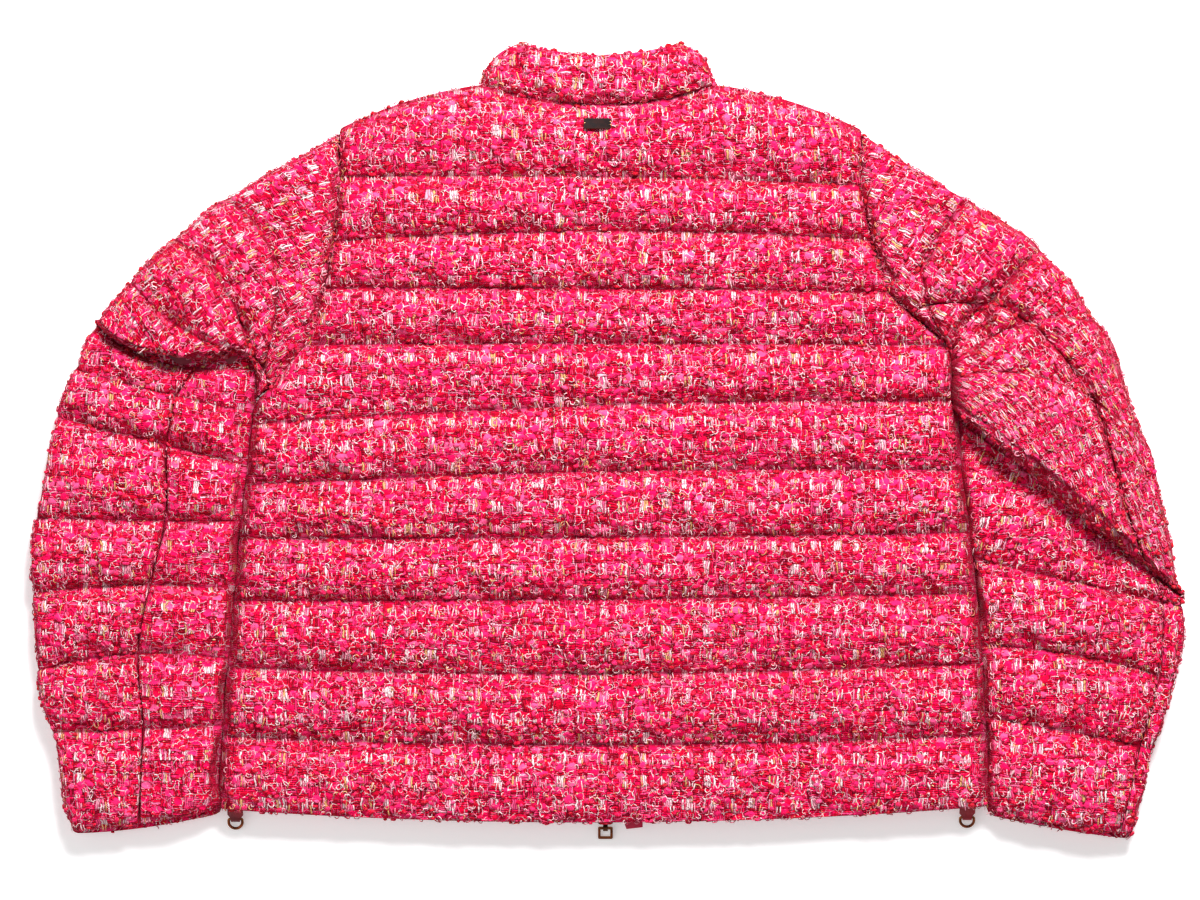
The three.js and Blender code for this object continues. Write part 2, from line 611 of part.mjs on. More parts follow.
function hemRing({ x, hem }) {
  const path = [];
  for (let i = 0; i <= ring.turns; i += 1) {
    const angle = Math.PI + (Math.PI * i) / ring.turns;
    path.push([ring.half * Math.cos(angle), -ring.straight + ring.half * Math.sin(angle)]);
  }
  const { corner, sides } = ring;
  [1, -1].forEach((side) => {
    const start = side > 0 ? 0 : Math.PI / 2;
    for (let i = 0; i <= ring.cornerTurns; i += 1) {
      const angle = start + (Math.PI / 2) * (i / ring.cornerTurns);
      path.push([side * (ring.half - corner) + corner * Math.cos(angle), -corner + corner * Math.sin(angle)]);
    }
  });
  const positions = [];
  const faces = [];
  path.forEach(([px, py], i) => {
    const before = path[(i + path.length - 1) % path.length];
    const after = path[(i + 1) % path.length];
    const along = new THREE.Vector2(after[0] - before[0], after[1] - before[1]).normalize();
    for (let k = 0; k < sides; k += 1) {
      const angle = (2 * Math.PI * k) / sides;
      const across = ring.wire * Math.cos(angle);
      positions.push(px + along.y * across, py - along.x * across, ring.wire * Math.sin(angle));
      const next = (i + 1) % path.length;
      const turn = (k + 1) % sides;
      faces.push(i * sides + k, next * sides + k, next * sides + turn);
      faces.push(i * sides + k, next * sides + turn, i * sides + turn);
    }
  });
  const geometry = new THREE.BufferGeometry();
  geometry.setAttribute("position", new THREE.Float32BufferAttribute(positions, 3));
  geometry.setIndex(faces);
  return geometry.rotateX(ring.tilt).translate(x, hem - tab.tipDrop, tab.barZ);
}

// ---- the jacket ---------------------------------------------------------------------------------

const jacket = new THREE.Group();

function add(name, geometry, finishName) {
  const mesh = new THREE.Mesh(geometry, new THREE.MeshStandardMaterial(finish[finishName]));
  mesh.name = name;
  jacket.add(mesh);
  return mesh;
}

add("back", backPanel(), "tweed");
add("front_left", frontPanel("left"), "tweed");
add("front_right", frontPanel("right"), "tweed");
add("collar", collarStrip(), "tweed");
for (const [side, rings] of [["left", leftSleeve], ["right", rightSleeve]]) {
  add(`sleeve_${side}_top`, sleevePiece(rings, side, "top"), "tweed");
  add(`sleeve_${side}_under`, sleevePiece(rings, side, "under"), "tweed");
}
add("zip_tape_left", zipTape(-1), "zipTape");
add("zip_tape_right", zipTape(1), "zipTape");
add("zip_chain", zipChain(), "darkBronze");
add("zip_slider", sliderBody(), "darkBronze");
add("zip_pull", pullTab(), "bronze");
add("hem_facing", hemFacing(), "crimson");
const neckPlateMesh = add("neck_plate", neckPlate(), "darkBronze");
const seat = plateSeat();
neckPlateMesh.position.set(plate.x, plate.y, seat.height);
neckPlateMesh.rotation.x = -seat.slope;
for (const side of ["left", "right"]) {
  add(`hem_tab_${side}`, tabTape(corners[side]), "crimson");
  add(`hem_ring_${side}`, hemRing(corners[side]), "bronze");
}

// The origin is under the middle of everything, on the surface.
const extent = new THREE.Box3().setFromObject(jacket, true);
const middle = extent.getCenter(new THREE.Vector3());
jacket.position.set(-middle.x, -middle.y, -extent.min.z);

export default jacket;
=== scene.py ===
# A cropped puffer jacket in pink boucle tweed, lying face down. Metres, with sizes written in millimetres.
# +X is the wearer's right, +Y goes to the collar, +Z out of the back.
import math

import bpy
import numpy as np
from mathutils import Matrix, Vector
from mathutils.kdtree import KDTree


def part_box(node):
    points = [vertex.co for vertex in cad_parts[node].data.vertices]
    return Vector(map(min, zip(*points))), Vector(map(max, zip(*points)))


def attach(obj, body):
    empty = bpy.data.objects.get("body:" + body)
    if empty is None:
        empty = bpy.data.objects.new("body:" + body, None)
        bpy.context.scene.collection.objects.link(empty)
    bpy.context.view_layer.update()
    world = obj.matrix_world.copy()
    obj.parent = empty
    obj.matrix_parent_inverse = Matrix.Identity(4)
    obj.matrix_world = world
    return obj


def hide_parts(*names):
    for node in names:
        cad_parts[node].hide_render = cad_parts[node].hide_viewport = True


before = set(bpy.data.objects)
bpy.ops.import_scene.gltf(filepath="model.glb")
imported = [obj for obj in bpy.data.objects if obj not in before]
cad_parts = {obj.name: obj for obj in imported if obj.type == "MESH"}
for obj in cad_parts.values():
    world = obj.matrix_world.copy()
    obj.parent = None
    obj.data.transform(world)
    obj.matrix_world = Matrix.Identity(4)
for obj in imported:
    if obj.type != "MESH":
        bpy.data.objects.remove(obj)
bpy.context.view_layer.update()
bpy.ops.object.select_all(action="DESELECT")
mm = 0.001

cloth = {
    "meeting": 15.0,          # height at which the front half and the back half meet
    "between": 0.3,           # air between the two halves
    "seamAir": -0.2,          # air between neighbouring pieces
    "puff": 14.4,             # wall over the middle of a channel
    "quilt": 4.6,             # wall on a quilting line
    "seam": 6.0,              # wall at armholes, shoulders and neck
    "side": 0.6,              # wall at a side seam
    "sideRound": 12.0,        # how far in from a side seam the padding is full
    "hem": 7.0,               # wall at the hem
    "groove": 7.0,            # how far a sleeve's line lifts off the surface underneath
    "bulge": 1.6,             # how far a channel swells in outline
    "press": 2.0,             # how far the body's side and a sleeve press into each other
    "foldWall": 6.0,          # padding inside a folded edge
    "top": 2.6,               # wall where the shoulders and the neck seam turn over
    "dip": 0.42,              # the share of the wall that a sewn seam pulls down
    "dipWidth": 5.0,
    "mouth": 2.6,             # how far a cuff and the hem stand open, to each side
    "flange": 3.2,            # width of the flat seam at the bottom of the valley beside a sleeve
    "valley": 3.4,            # how far the shade of that valley reaches
    "turned": 7.0,            # how far the tweed turns in at a cuff or hem
    "hemY": -288.0,           # lowest point of the back's hem with its yarns
    "contact": 0.9,           # height of the woven ground where the loose yarns carry it
}


def table(columns, *rows):
    return dict(zip(columns.split(), np.array(rows, float).T))


bodyRows = table(
    "row leftX leftY centreY rightX rightY",
    (0, -201, 232, 251, 191, 231),
    (1, -201, 196.5, 196.5, 189.5, 190.5),
    (2, -205, 148, 156, 199, 149),
    (3, -212.5, 113, 113, 211, 110),
    (3 + 2 / 3, -221.5, 85, 86, 230.5, 91),
    (4, -226, 71, 72, 257.5, 70),
    (4 + 1 / 3, -247, 44, 56.5, 257.5, 56),
    (4 + 2 / 3, -264.5, 30, 41, 258.5, 42.5),
    (5, -264.5, 11, 25.5, 259, 28.5),
    (6, -268, -34.5, -24, 265.5, -23),
    (7, -273.5, -74, -73.5, 270, -70),
    (8, -277, -121, -120, 274.5, -115.5),
    (9, -282.5, -171, -176, 279, -168),
    (10, -286, -223, -229, 282, -222),
    (11, -288.5, -276, -286.2, 285, -274),
)
lastRow = 11
armpit = {"left": 4 + 2 / 3, "right": 4}
neck = {"leftX": -95, "rightX": 81, "pointY": 265, "frontDrop": 60, "arch": 5, "left": 0.27, "right": 0.72}
zipLine = {"x": -1.5, "opening": 9, "edgeLift": 3, "hemLift": 3}

# The line between the body's side and the sleeve beside it.
divide = {
    "left": table("y x", (-277, -291.5), (-244, -289.6), (-205, -287), (-179, -285), (-127, -279.8),
                  (-81, -276), (-58, -273.6), (-24, -269.4), (11, -267), (30, -265.3), (75, -265.8)),
    "right": table("y x", (-277, 286.8), (-244, 285), (-205, 282.6), (-127, 277.6), (-80, 272), (-36, 267.4),
                   (27, 261.3), (56, 260), (70, 258.2)),
}

collarRows = table(
    "at leftX leftY rightX rightY",
    (0, -97, 267, 85.5, 267.5),
    (1 / 3, -92, 281, 79.5, 280),
    (2 / 3, -82.5, 291, 72, 290.5),
    (1, -69.5, 297.5, 58.5, 297.5),
)
collarTop = {"backY": 287, "frontY": 250}

sleeveColumns = "ox oy mx my iy line puff back front"
sleeves = {
    "left": table(
        sleeveColumns,
        (-201, 232, -209, 133, 30, 22, 33, 0.94, 0.83),
        (-288, 180, -249, 128, 38, 26, 36, 0.93, 0.72),
        (-325, 149, -288, 115.5, 50, 30, 42, 0.92, 0.65),
        (-357, 118, -315, 81, 61, 36, 44, 0.9, 0.6),
        (-381, 90, -336, 66, 69, 40, 30, 0.88, 0.6),
        (-383, 86, -337.5, 59, 53, 20, 29, 0.72, 0.6),
        (-399, 52.5, -346, 38, 20, 25, 31, 0.66, 0.6),
        (-413, 17, -343, -1.5, -20, 21, 31, 0.58, 0.6),
        (-429, -59, -343, -61, -61.5, 21, 31, 0.58, 0.6),
        (-431, -115, -352, -109.5, -112, 21, 31, 0.555, 0.6),
        (-427, -174, -360, -161, -165, 21, 30, 0.55, 0.6),
        (-416.5, -220, -354.5, -217.5, -214, 21, 30, 0.55, 0.6),
        (-402.5, -291, -350.5, -287, -276, 24, 24, 0.49, 0.6),
    ),
    "right": table(
        sleeveColumns,
        (191, 231, 202, 140, 70, 22, 33, 0.816, 0.816),
        (273.5, 179, 238, 128, 68, 26, 36, 0.74, 0.74),
        (324.5, 142, 297, 115, 64.5, 27, 40, 0.66, 0.68),
        (370, 85, 317, 88, 58, 35, 44, 0.52, 0.62),
        (408.5, -12, 339.5, 40.5, 47, 41, 47, 0.34, 0.6),
        (430, -113, 332, -25.5, 27, 44, 30, 0.14, 0.6),
        (431, -119, 328, -35, 15, 22, 31, 0.1, 0.6),
        (431, -125.5, 345, -106, -88, 21, 31, 0.08, 0.6),
        (426, -181, 350.5, -162, -155, 21, 31, 0.08, 0.6),
        (409.5, -233, 345.5, -219, -209, 21, 30, 0.08, 0.6),
        (392.5, -295, 341, -288, -277, 24, 24, 0.08, 0.6),
    ),
}
# The ring at which a sleeve folds over itself, and how the cloth turns there, row by row: how far on
# towards the cuff, and its height. The lip hangs over the lower sleeve.
sleeveFold = {
    "left": {"ring": 4, "from": 0.16, "to": 0.5, "peek": 4,
             "turn": ((0, 38), (2.5, 36), (4, 32), (3.6, 27.5), (0.5, 23.5), (-6, 21), (-8.5, 18.5),
                      (-6, 16.5), (-1, 16.2), (2, 17.5))},
    "right": {"ring": 5, "from": 0.06, "to": 0.3, "peek": 4,
              "turn": ((0, 44), (3.5, 42), (6.5, 38), (7, 32.5), (3.5, 27), (-6, 23), (-12, 19.5), (-11, 17),
                       (-5, 16.2), (3, 16.5))},
}
# Which way the weave runs down a sleeve: rings, and degrees to +X from straight down.
sleeveGrain = {
    "left": ((0, 3.9, 4.6, 12), (-52, -56, -4, 0)),
    "right": ((0, 2, 4.8, 5.6, 10), (58, 46, 32, 4, -3)),
}
# Soft creases: x and y of each point, then depth and width.
backCreases = (
    (((119, 216), (128, 185), (137, 147)), 1.8, 5),
    (((174, 163), (184, 120), (191, 76)), 2.2, 6),
    (((-214, 150), (-186, 141), (-150, 147)), 1.2, 5),
    (((-236, 36), (-205, 22), (-170, 30)), 1.2, 6),
    (((150, -45), (190, -38), (225, -48)), 0.9, 6),
)
sleeveCreases = {
    "left": (
        (((-247, 62), (-252, 50), (-258, 42)), 3, 5),
        (((-292, 108), (-280, 89), (-269, 75)), 8, 8),
        (((-346, 114), (-328, 91), (-313, 75)), 7, 8),
        (((-372, 99), (-349, 77), (-330, 60)), 7, 8),
        (((-285, 67), (-276, 60), (-268, 49)), 14, 8),
        (((-268, 42), (-270, 0), (-273.5, -40), (-277.5, -85), (-281.5, -130)), 9, 4),
        (((-352, 60), (-330, 54), (-300, 56)), 4, 6),
        (((-415, 5), (-380, -14), (-340, -20)), 2, 7),
        (((-272, 26), (-276, 6), (-280, -20)), 2.5, 6),
    ),
    "right": (
        (((264, 177), (252, 152), (233, 123)), 4, 5),
        (((286, 102), (275, 86), (267, 64)), 24, 11),
        (((324, 99), (308, 86), (290, 70), (276, 66)), 5, 6),
        (((301, 128), (292, 116), (286, 104)), 4, 6),
        (((261, 3), (283, -14), (313, -36), (346, -62), (368, -92), (384, -106)), 13, 10),
        (((370, -72), (388, -85), (404, -97), (418, -106)), 12, 8),
        (((378, -52), (392, -66), (408, -84), (420, -102)), 4, 4),
        (((330, 10), (352, -10), (380, -40)), 2.5, 9),
        (((263, 118), (262, 96), (260, 74)), 3, 5),
    ),
}


def linked(name, data):
    piece = bpy.data.objects.new(name, data)
    bpy.context.scene.collection.objects.link(piece)
    return piece


def onlySelect(piece):
    bpy.ops.object.select_all(action="DESELECT")
    piece.select_set(True)
    bpy.context.view_layer.objects.active = piece


def named(name):
    piece = bpy.context.active_object
    piece.name = piece.data.name = name
    return piece


def read(items, name, width=1, kind=np.float32):
    values = np.empty(len(items) * width, kind)
    items.foreach_get(name, values)
    return values.reshape(-1, width) if width > 1 else values


def write(items, name, values):
    items.foreach_set(name, values.astype(np.float32).ravel())


def addAttribute(mesh, name, values):
    write(mesh.attributes.new(name, "FLOAT", "POINT").data, "value", values)


def mix(a, b, f):
    return a + (b - a) * f


def throughThree(a, b, c, f):
    return a * (1 - f) * (1 - 2 * f) + 4 * b * f * (1 - f) + c * f * (2 * f - 1)


def easeIn(f, low, high):
    f = np.clip((f - low) / (high - low), 0, 1)
    return f * f * (3 - 2 * f)


def quarter(f):
    return 1 - np.cos(f * math.pi / 2), np.sin(f * math.pi / 2)


def arcLength(curve):
    return np.concatenate([[0], np.cumsum(np.linalg.norm(np.diff(curve, axis=0), axis=1))])


def resampled(curve, places, carried=None):
    # Points at these shares of a curve's length, or what is carried along it there.
    long = arcLength(curve)
    carried = curve if carried is None else carried
    return np.stack([np.interp(places * long[-1], long, carried[:, k]) for k in range(3)], axis=1)


def roundEdge(f, power):
    return np.maximum(1 - np.abs(2 * f - 1) ** power, 0) ** (1 / power)


def puffAt(row):
    return 1 - np.abs(2 * (row - np.floor(row)) - 1) ** 2.5


def wobble(x, y, size, seed):
    # Slow waves in seven directions, about one at most.
    dice = np.random.default_rng(seed)
    total = 0
    for _ in range(7):
        angle, phase = dice.uniform(0, 2 * math.pi, 2)
        wave = 2 * math.pi / (size * dice.uniform(0.7, 1.5))
        total = total + np.sin(wave * (x * math.cos(angle) + y * math.sin(angle)) + phase)
    return total / 3.5


def crease(x, y, creases):
    total = np.zeros(np.broadcast(x, y).shape)
    for points, depth, width in creases:
        best = np.full(total.shape, 1e9)
        along = np.zeros(total.shape)
        count = len(points) - 1
        for k in range(count):
            (ax, ay), (bx, by) = points[k], points[k + 1]
            f = ((x - ax) * (bx - ax) + (y - ay) * (by - ay)) / ((bx - ax) ** 2 + (by - ay) ** 2)
            f = np.clip(f, 0, 1)
            away = np.hypot(x - mix(ax, bx, f), y - mix(ay, by, f))
            along = np.where(away < best, (k + f) / count, along)
            best = np.minimum(best, away)
        taper = np.sqrt(np.sin(math.pi * np.clip(along, 0.04, 0.96)))
        total += depth * taper * np.exp(-((best / width) ** 2))
    return total


# Rows of a quilted surface, close together at the quilting lines.
channelSteps = (0, 0.05, 0.13, 0.25, 0.38, 0.5, 0.62, 0.75, 0.87, 0.95)


def spread(count, edge=0.35):
    f = np.linspace(0, 1, count)
    return f - edge * np.sin(2 * math.pi * f) / (2 * math.pi)


def bodyRowList():
    return np.array([row + f for row in range(lastRow) for f in channelSteps] + [lastRow])[:, None]


def bodyValue(name, row):
    return np.interp(row, bodyRows["row"], bodyRows[name])


def divideAt(side, y):
    return np.interp(y, divide[side]["y"], divide[side]["x"])


def bodyPlan(s, row):
    at = np.maximum(row, 1)
    gap = cloth["seamAir"]
    notch = cloth["bulge"] * (1 - puffAt(row)) - cloth["press"]
    left, right = (np.where(row <= armpit[side], bodyValue(f"{side}X", at) + way * gap,
                            divideAt(side, bodyValue(f"{side}Y", at)) + way * notch)
                   for side, way in (("left", 1), ("right", -1)))
    x = mix(left, right, s)
    y = throughThree(bodyValue("leftY", at), bodyValue("centreY", at), bodyValue("rightY", at), s)
    leftX, leftY, rightX, rightY = (bodyRows[name][0] for name in ("leftX", "leftY", "rightX", "rightY"))
    fromLeft, fromRight = s / neck["left"], (1 - s) / (1 - neck["right"])
    over = (s - neck["left"]) / (neck["right"] - neck["left"])
    arch = lambda f: 4 * neck["arch"] * f * (1 - f)
    topX = np.where(s < neck["left"], mix(leftX + gap, neck["leftX"], fromLeft),
                    np.where(s > neck["right"], mix(rightX - gap, neck["rightX"], fromRight),
                             mix(neck["leftX"], neck["rightX"], over)))
    topY = np.where(s < neck["left"], mix(leftY, neck["pointY"], fromLeft) + arch(fromLeft),
                    np.where(s > neck["right"], mix(rightY, neck["pointY"], fromRight) + arch(fromRight),
                             throughThree(neck["pointY"], bodyRows["centreY"][0], neck["pointY"], over)))
    share = np.clip(row, 0, 1)
    return np.where(row < 1, mix(topX, x, share), x), np.where(row < 1, mix(topY, y, share), y)


def bodyWall(s, row, x, y, seed):
    atArmhole = np.where(s < 0.5, row <= armpit["left"], row <= armpit["right"])
    edge = np.where(atArmhole, cloth["seam"], cloth["side"])
    reach = bodyValue("rightX", np.maximum(row, 1)) - bodyValue("leftX", np.maximum(row, 1))
    fromSeam = np.where(s < 0.5, s, 1 - s) * reach
    rounded = np.sqrt(1 - (1 - np.clip((fromSeam - cloth["flange"]) / cloth["sideRound"], 0, 1)) ** 2)
    across = np.where(atArmhole, roundEdge(s, 14), rounded)
    line = np.interp(row, (0, 1, lastRow - 1, lastRow), [cloth[k] for k in ("top", "quilt", "quilt", "hem")])
    line = line + (1 + wobble(x, y, 120, seed)) * 0.7
    full = puffAt(row) * (1 + 0.05 * wobble(x, y, 90, seed + 1))
    fine = 0.45 * wobble(x, y * 0.6, 26, seed + 2) * full
    puckers = 0.55 * wobble(x, y * 0.3, 17, seed + 3) * np.exp(-full * 3.2) * (1 - np.exp(-full * 9))
    along = mix(line, cloth["puff"], full) + fine + puckers * 2
    wall = mix(np.minimum(edge, along), along, across)
    return wall * (1 - cloth["dip"] * np.exp(-((fromSeam / cloth["dipWidth"]) ** 2)) * atArmhole)


def rolled(edge, inside, outwards, bulge):
    middle, half = (edge + inside) / 2, (edge - inside) / 2
    rows = [middle + half * math.cos(math.radians(a)) + outwards * bulge * math.sin(math.radians(a))
            for a in (35, 75, 115, 155)]
    rows.append(inside - outwards * cloth["turned"])
    return np.array(rows)


def turnedIn(inner, outwards, count):
    # The inner wall's rows behind a rolled edge.
    back = np.arange(1, count + 1)[:, None, None] / count * (cloth["turned"] + 1.5)
    return np.concatenate([inner, inner[-1:] - outwards * back])


def rolledUnder(outer, inner, outwards, bulge):
    # Adds the rows of a rolled edge after the last one, and says how many they are.
    roll = rolled(outer[-1], inner[-1], outwards, bulge)
    return np.concatenate([outer, roll]), turnedIn(inner, outwards, len(roll)), len(roll)


def rolledAtTop(outer, inner, row, bulge):
    # Rolls the shoulder and neck edge in as the hem is, and gives its rows a number below nought.
    upwards = np.broadcast_to([0.0, 1.0, 0.0], outer[0].shape)
    roll = rolled(outer[0], inner[0], upwards, bulge)[::-1]
    behind = turnedIn(inner[:1], upwards, len(roll))[1:][::-1]
    above = np.full(len(roll), -1.0)
    return [np.concatenate(pair) for pair in ((roll, outer), (behind, inner), (above, row))]


def grain(points, reference, ways, turn=1):
    # Weave coordinates: across by arc length from a column, along by each row's own direction.
    steps = np.linalg.norm(np.diff(points, axis=1), axis=2)
    across = np.concatenate([np.zeros((len(points), 1)), np.cumsum(steps, axis=1)], axis=1)
    across -= across[:, reference:reference + 1]
    middle = points[:, reference, :2]
    sideways = turn * np.stack([-ways[:, 1], ways[:, 0]], axis=1)
    moved = np.diff(middle, axis=0)
    rise = np.diff(points[:, reference, 2])
    along = np.concatenate([[0], np.cumsum(np.hypot((moved * ways[1:]).sum(axis=1), rise))])
    aside = np.concatenate([[0], np.cumsum((moved * sideways[1:]).sum(axis=1))])
    offset = ((points[:, :, :2] - middle[:, None]) * ways[:, None]).sum(axis=2)
    return np.stack([across + aside[:, None], along[:, None] + offset], axis=2)


place = {
    "x": (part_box("zip_chain")[0].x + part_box("zip_chain")[1].x) / 2 / mm - zipLine["x"],
    "y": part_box("back")[0].y / mm - cloth["hemY"],
}


def picked(count, step):
    return sorted({*range(0, count, step), count - 1})


# Where faces lie on the bake's map: the tweed on top, the edges in a strip below it, the lining last.
bakeMap = {"low": 0.004, "high": 0.996, "tweedFrom": 0.125, "liningTo": 0.1,
           "edgeTop": 0.118, "edgeFoot": 0.106, "edgeStep": 0.25, "edgeLength": 0.24}
# How near to a line, in rows, the cloth is painted in shade at its stitches, and the top of the painted dark
# valley beside a sleeve.
seamShading = {"near": 0.035, "valleyTop": {"left": 42, "right": 64}}


def panel(name, outer, inner, fibre, rows01, rowStep=10, columnStep=6):
    rows, columns = outer.shape[:2]
    pickedRows, pickedColumns = picked(rows, rowStep), picked(columns, columnStep)
    inside = inner[np.ix_(pickedRows, pickedColumns)]
    points = np.concatenate([outer.reshape(-1, 3), inside.reshape(-1, 3)])
    points = (points + (place["x"], place["y"], 0)) * mm
    out = np.arange(rows * columns).reshape(rows, columns)
    into = rows * columns + np.arange(inside.shape[0] * inside.shape[1]).reshape(inside.shape[:2])
    low, high = bakeMap["low"], bakeMap["high"]
    spots = []
    for grid, foot, top in ((out, bakeMap["tweedFrom"], high), (into, low, bakeMap["liningTo"])):
        flatGrid = np.meshgrid(np.linspace(low, high, grid.shape[1]), np.linspace(foot, top, grid.shape[0]))
        spots += list(np.stack(flatGrid, 2).reshape(-1, 2))
    weave = np.concatenate([fibre.reshape(-1, 2), fibre[np.ix_(pickedRows, pickedColumns)].reshape(-1, 2)])
    faces, flat, kinds = [], [], []

    def add(face, kind, strip=None):
        faces.append(face)
        kinds.append(kind)
        flat.append([spots[k] for k in face] if strip is None else strip)

    for i in range(rows - 1):
        for j in range(columns - 1):
            add((out[i, j], out[i + 1, j], out[i + 1, j + 1], out[i, j + 1]), 0)
    for i in range(inside.shape[0] - 1):
        for j in range(inside.shape[1] - 1):
            add((into[i, j], into[i, j + 1], into[i + 1, j + 1], into[i + 1, j]), 1)
    edges = [
        (out[0], into[0], pickedColumns, 1), (out[-1], into[-1], pickedColumns, -1),
        (out[:, 0], into[:, 0], pickedRows, -1), (out[:, -1], into[:, -1], pickedRows, 1),
    ]
    for number, (outline, inline, picks, turn) in enumerate(edges):
        for k in range(len(picks) - 1):
            a, b = picks[k], picks[k + 1]
            run = [outline[m] for m in range(a, b + 1)]
            left = low + bakeMap["edgeStep"] * number
            across = [left + bakeMap["edgeLength"] * m / len(outline) for m in range(a, b + 1)]
            strip = [(x, bakeMap["edgeTop"]) for x in across]
            strip += [(x, bakeMap["edgeFoot"]) for x in (across[-1], across[0])]
            face = [*run, inline[k + 1], inline[k]]
            if turn < 0:
                face, strip = face[::-1], strip[::-1]
            add(face, 0, strip)
    a, b, c = (points[[face[k] for face in faces]] for k in range(3))
    if (a * np.cross(b, c)).sum() < 0:
        faces, flat = [f[::-1] for f in faces], [f[::-1] for f in flat]
    mesh = bpy.data.meshes.new(f"{name}_panel")
    mesh.from_pydata(points.tolist(), [], [list(map(int, f)) for f in faces])
    mesh.polygons.foreach_set("material_index", kinds)
    order = np.concatenate([np.array(f) for f in faces])
    flat = np.concatenate([np.array(f) for f in flat])
    for layer, values in (("Grain", weave[order] * mm), ("OFBake", flat)):
        write(mesh.uv_layers.new(name=layer).data, "uv", values)
    mesh.uv_layers.active = mesh.uv_layers["Grain"]
    # How near a point is to a line of stitches.
    near = np.exp(-((np.abs(rows01 - np.round(rows01)) / seamShading["near"]) ** 2))
    near = np.where((rows01 > rows01.max() - 0.001) | (rows01 < 0), 0, near)
    # The bottom of the valley between the body and a sleeve gets the same painted shade, and is bare of loose
    # yarns.
    aside = [np.abs(outer[..., 0] - divideAt(side, outer[..., 1])) + 1000 * (outer[..., 1] > top)
             for side, top in seamShading["valleyTop"].items()]
    valley = np.exp(-((np.minimum(*aside) / cloth["valley"]) ** 2)) * (outer[..., 2] > cloth["meeting"] - 2)
    # How free each point is to swell: not at all on a line, a seam or the inner wall.
    share = np.linspace(0, 1, columns)[None, :]
    free = easeIn(np.minimum(share, 1 - share), 0.01, 0.06) * easeIn(1 - near, 0.05, 0.9)[:, None]
    free[0], free[-5:], free[rows01 < 0] = 0, 0, 0
    for kind, shown in (("Stitched", np.maximum(near[:, None], valley)), ("Free", free)):
        addAttribute(mesh, kind, np.concatenate([shown.ravel(), np.zeros(inside.shape[0] * inside.shape[1])]))
    return linked(mesh.name, mesh)


cushion = {"pressure": 4.0, "frames": 20, "slack": -0.05, "furthest": 3.5}


def swellPiece(piece):
    # Lets the padding push the cloth out between its stitches, which stay where they are.
    mesh = piece.data
    before, free = read(mesh.vertices, "co", 3), read(mesh.attributes["Free"].data, "value")
    held = piece.vertex_groups.new(name="held")
    for level in np.unique(free.round(1)):
        held.add([int(k) for k in np.flatnonzero(free.round(1) == level)], float(1 - level), "REPLACE")
    modifier = piece.modifiers.new("Cloth", "CLOTH")
    settings = modifier.settings
    settings.quality = 5
    settings.mass = 0.3
    settings.tension_stiffness = settings.compression_stiffness = 12
    settings.shear_stiffness = 4
    settings.bending_stiffness = 0.4
    settings.use_pressure = True
    settings.uniform_pressure_force = cushion["pressure"]
    settings.shrink_min = cushion["slack"]
    settings.vertex_group_mass = held.name
    settings.pin_stiffness = 1
    settings.effector_weights.gravity = 0
    scene = bpy.context.scene
    for number in range(1, cushion["frames"] + 1):
        scene.frame_set(number)
    puffed = piece.evaluated_get(bpy.context.evaluated_depsgraph_get())
    moved = (read(puffed.data.vertices, "co", 3) - before) * (free > 0.01)[:, None]
    length = np.linalg.norm(moved, axis=1, keepdims=True)
    moved *= np.minimum(1, cushion["furthest"] * mm / np.maximum(length, 1e-9))
    final = before + moved
    final[:, 2] = np.maximum(final[:, 2], np.minimum(before[:, 2], cloth["contact"] * mm))
    piece.modifiers.remove(modifier)
    piece.vertex_groups.remove(held)
    write(mesh.vertices, "co", final)
    mesh.update()
    scene.frame_set(1)
    return float(length.max())


def leaning(normals):
    return easeIn(1 - np.abs(normals[:, 2]), 0.06, 0.65)


def markLeanShade(piece):
    # Painted shade: cloth that leans over into a seam is darkened towards the red light of the cloth beside
    # it in shadow.
    addAttribute(piece.data, "Steep", leaning(read(piece.data.vertex_normals, "vector", 3)))


def refine(piece):
    modifier = piece.modifiers.new("Smooth", "SUBSURF")
    modifier.levels = modifier.render_levels = 1
    modifier.uv_smooth = "NONE"
    onlySelect(piece)
    bpy.ops.object.modifier_apply(modifier=modifier.name)
    bpy.ops.object.shade_smooth()
    piece.select_set(False)
    markLeanShade(piece)


halves = {"back": cloth["meeting"] + cloth["between"] / 2, "front": cloth["meeting"] - cloth["between"] / 2}
down = np.array([0.0, -1.0])


def hemOpening(row, across):
    return cloth["mouth"] * easeIn(row, lastRow - 0.9, lastRow) * (1 - np.abs(across) ** 6)


def bodyPanel(name, outer, inner, row, bulge, reference, turn=1):
    # Finishes a back or a front: its hem and shoulder edge rolled, its weave running straight down.
    outwards = np.broadcast_to([0.0, -1.0, 0.0], outer[-1].shape)
    outer, inner, added = rolledUnder(outer, inner, outwards, bulge)
    rows01 = np.concatenate([row[:, 0], np.full(added, lastRow)])
    outer, inner, rows01 = rolledAtTop(outer, inner, rows01, 1.0)
    ways = np.repeat(down[None], len(outer), axis=0)
    return panel(name, outer, inner, grain(outer, reference, ways, turn), rows01)


def backPanel():
    row, s = bodyRowList(), spread(97)[None, :]
    x, y = bodyPlan(s, row)
    wall = bodyWall(s, row, x, y, 11) - crease(x, y, backCreases) * roundEdge(s, 8)
    outer = np.stack([x, y, halves["back"] + wall], axis=2)
    inner = np.stack([x, y, halves["back"] + hemOpening(row, 2 * s - 1) * 0.6], axis=2)
    return bodyPanel("back", outer, inner, row, 1.6, 48)


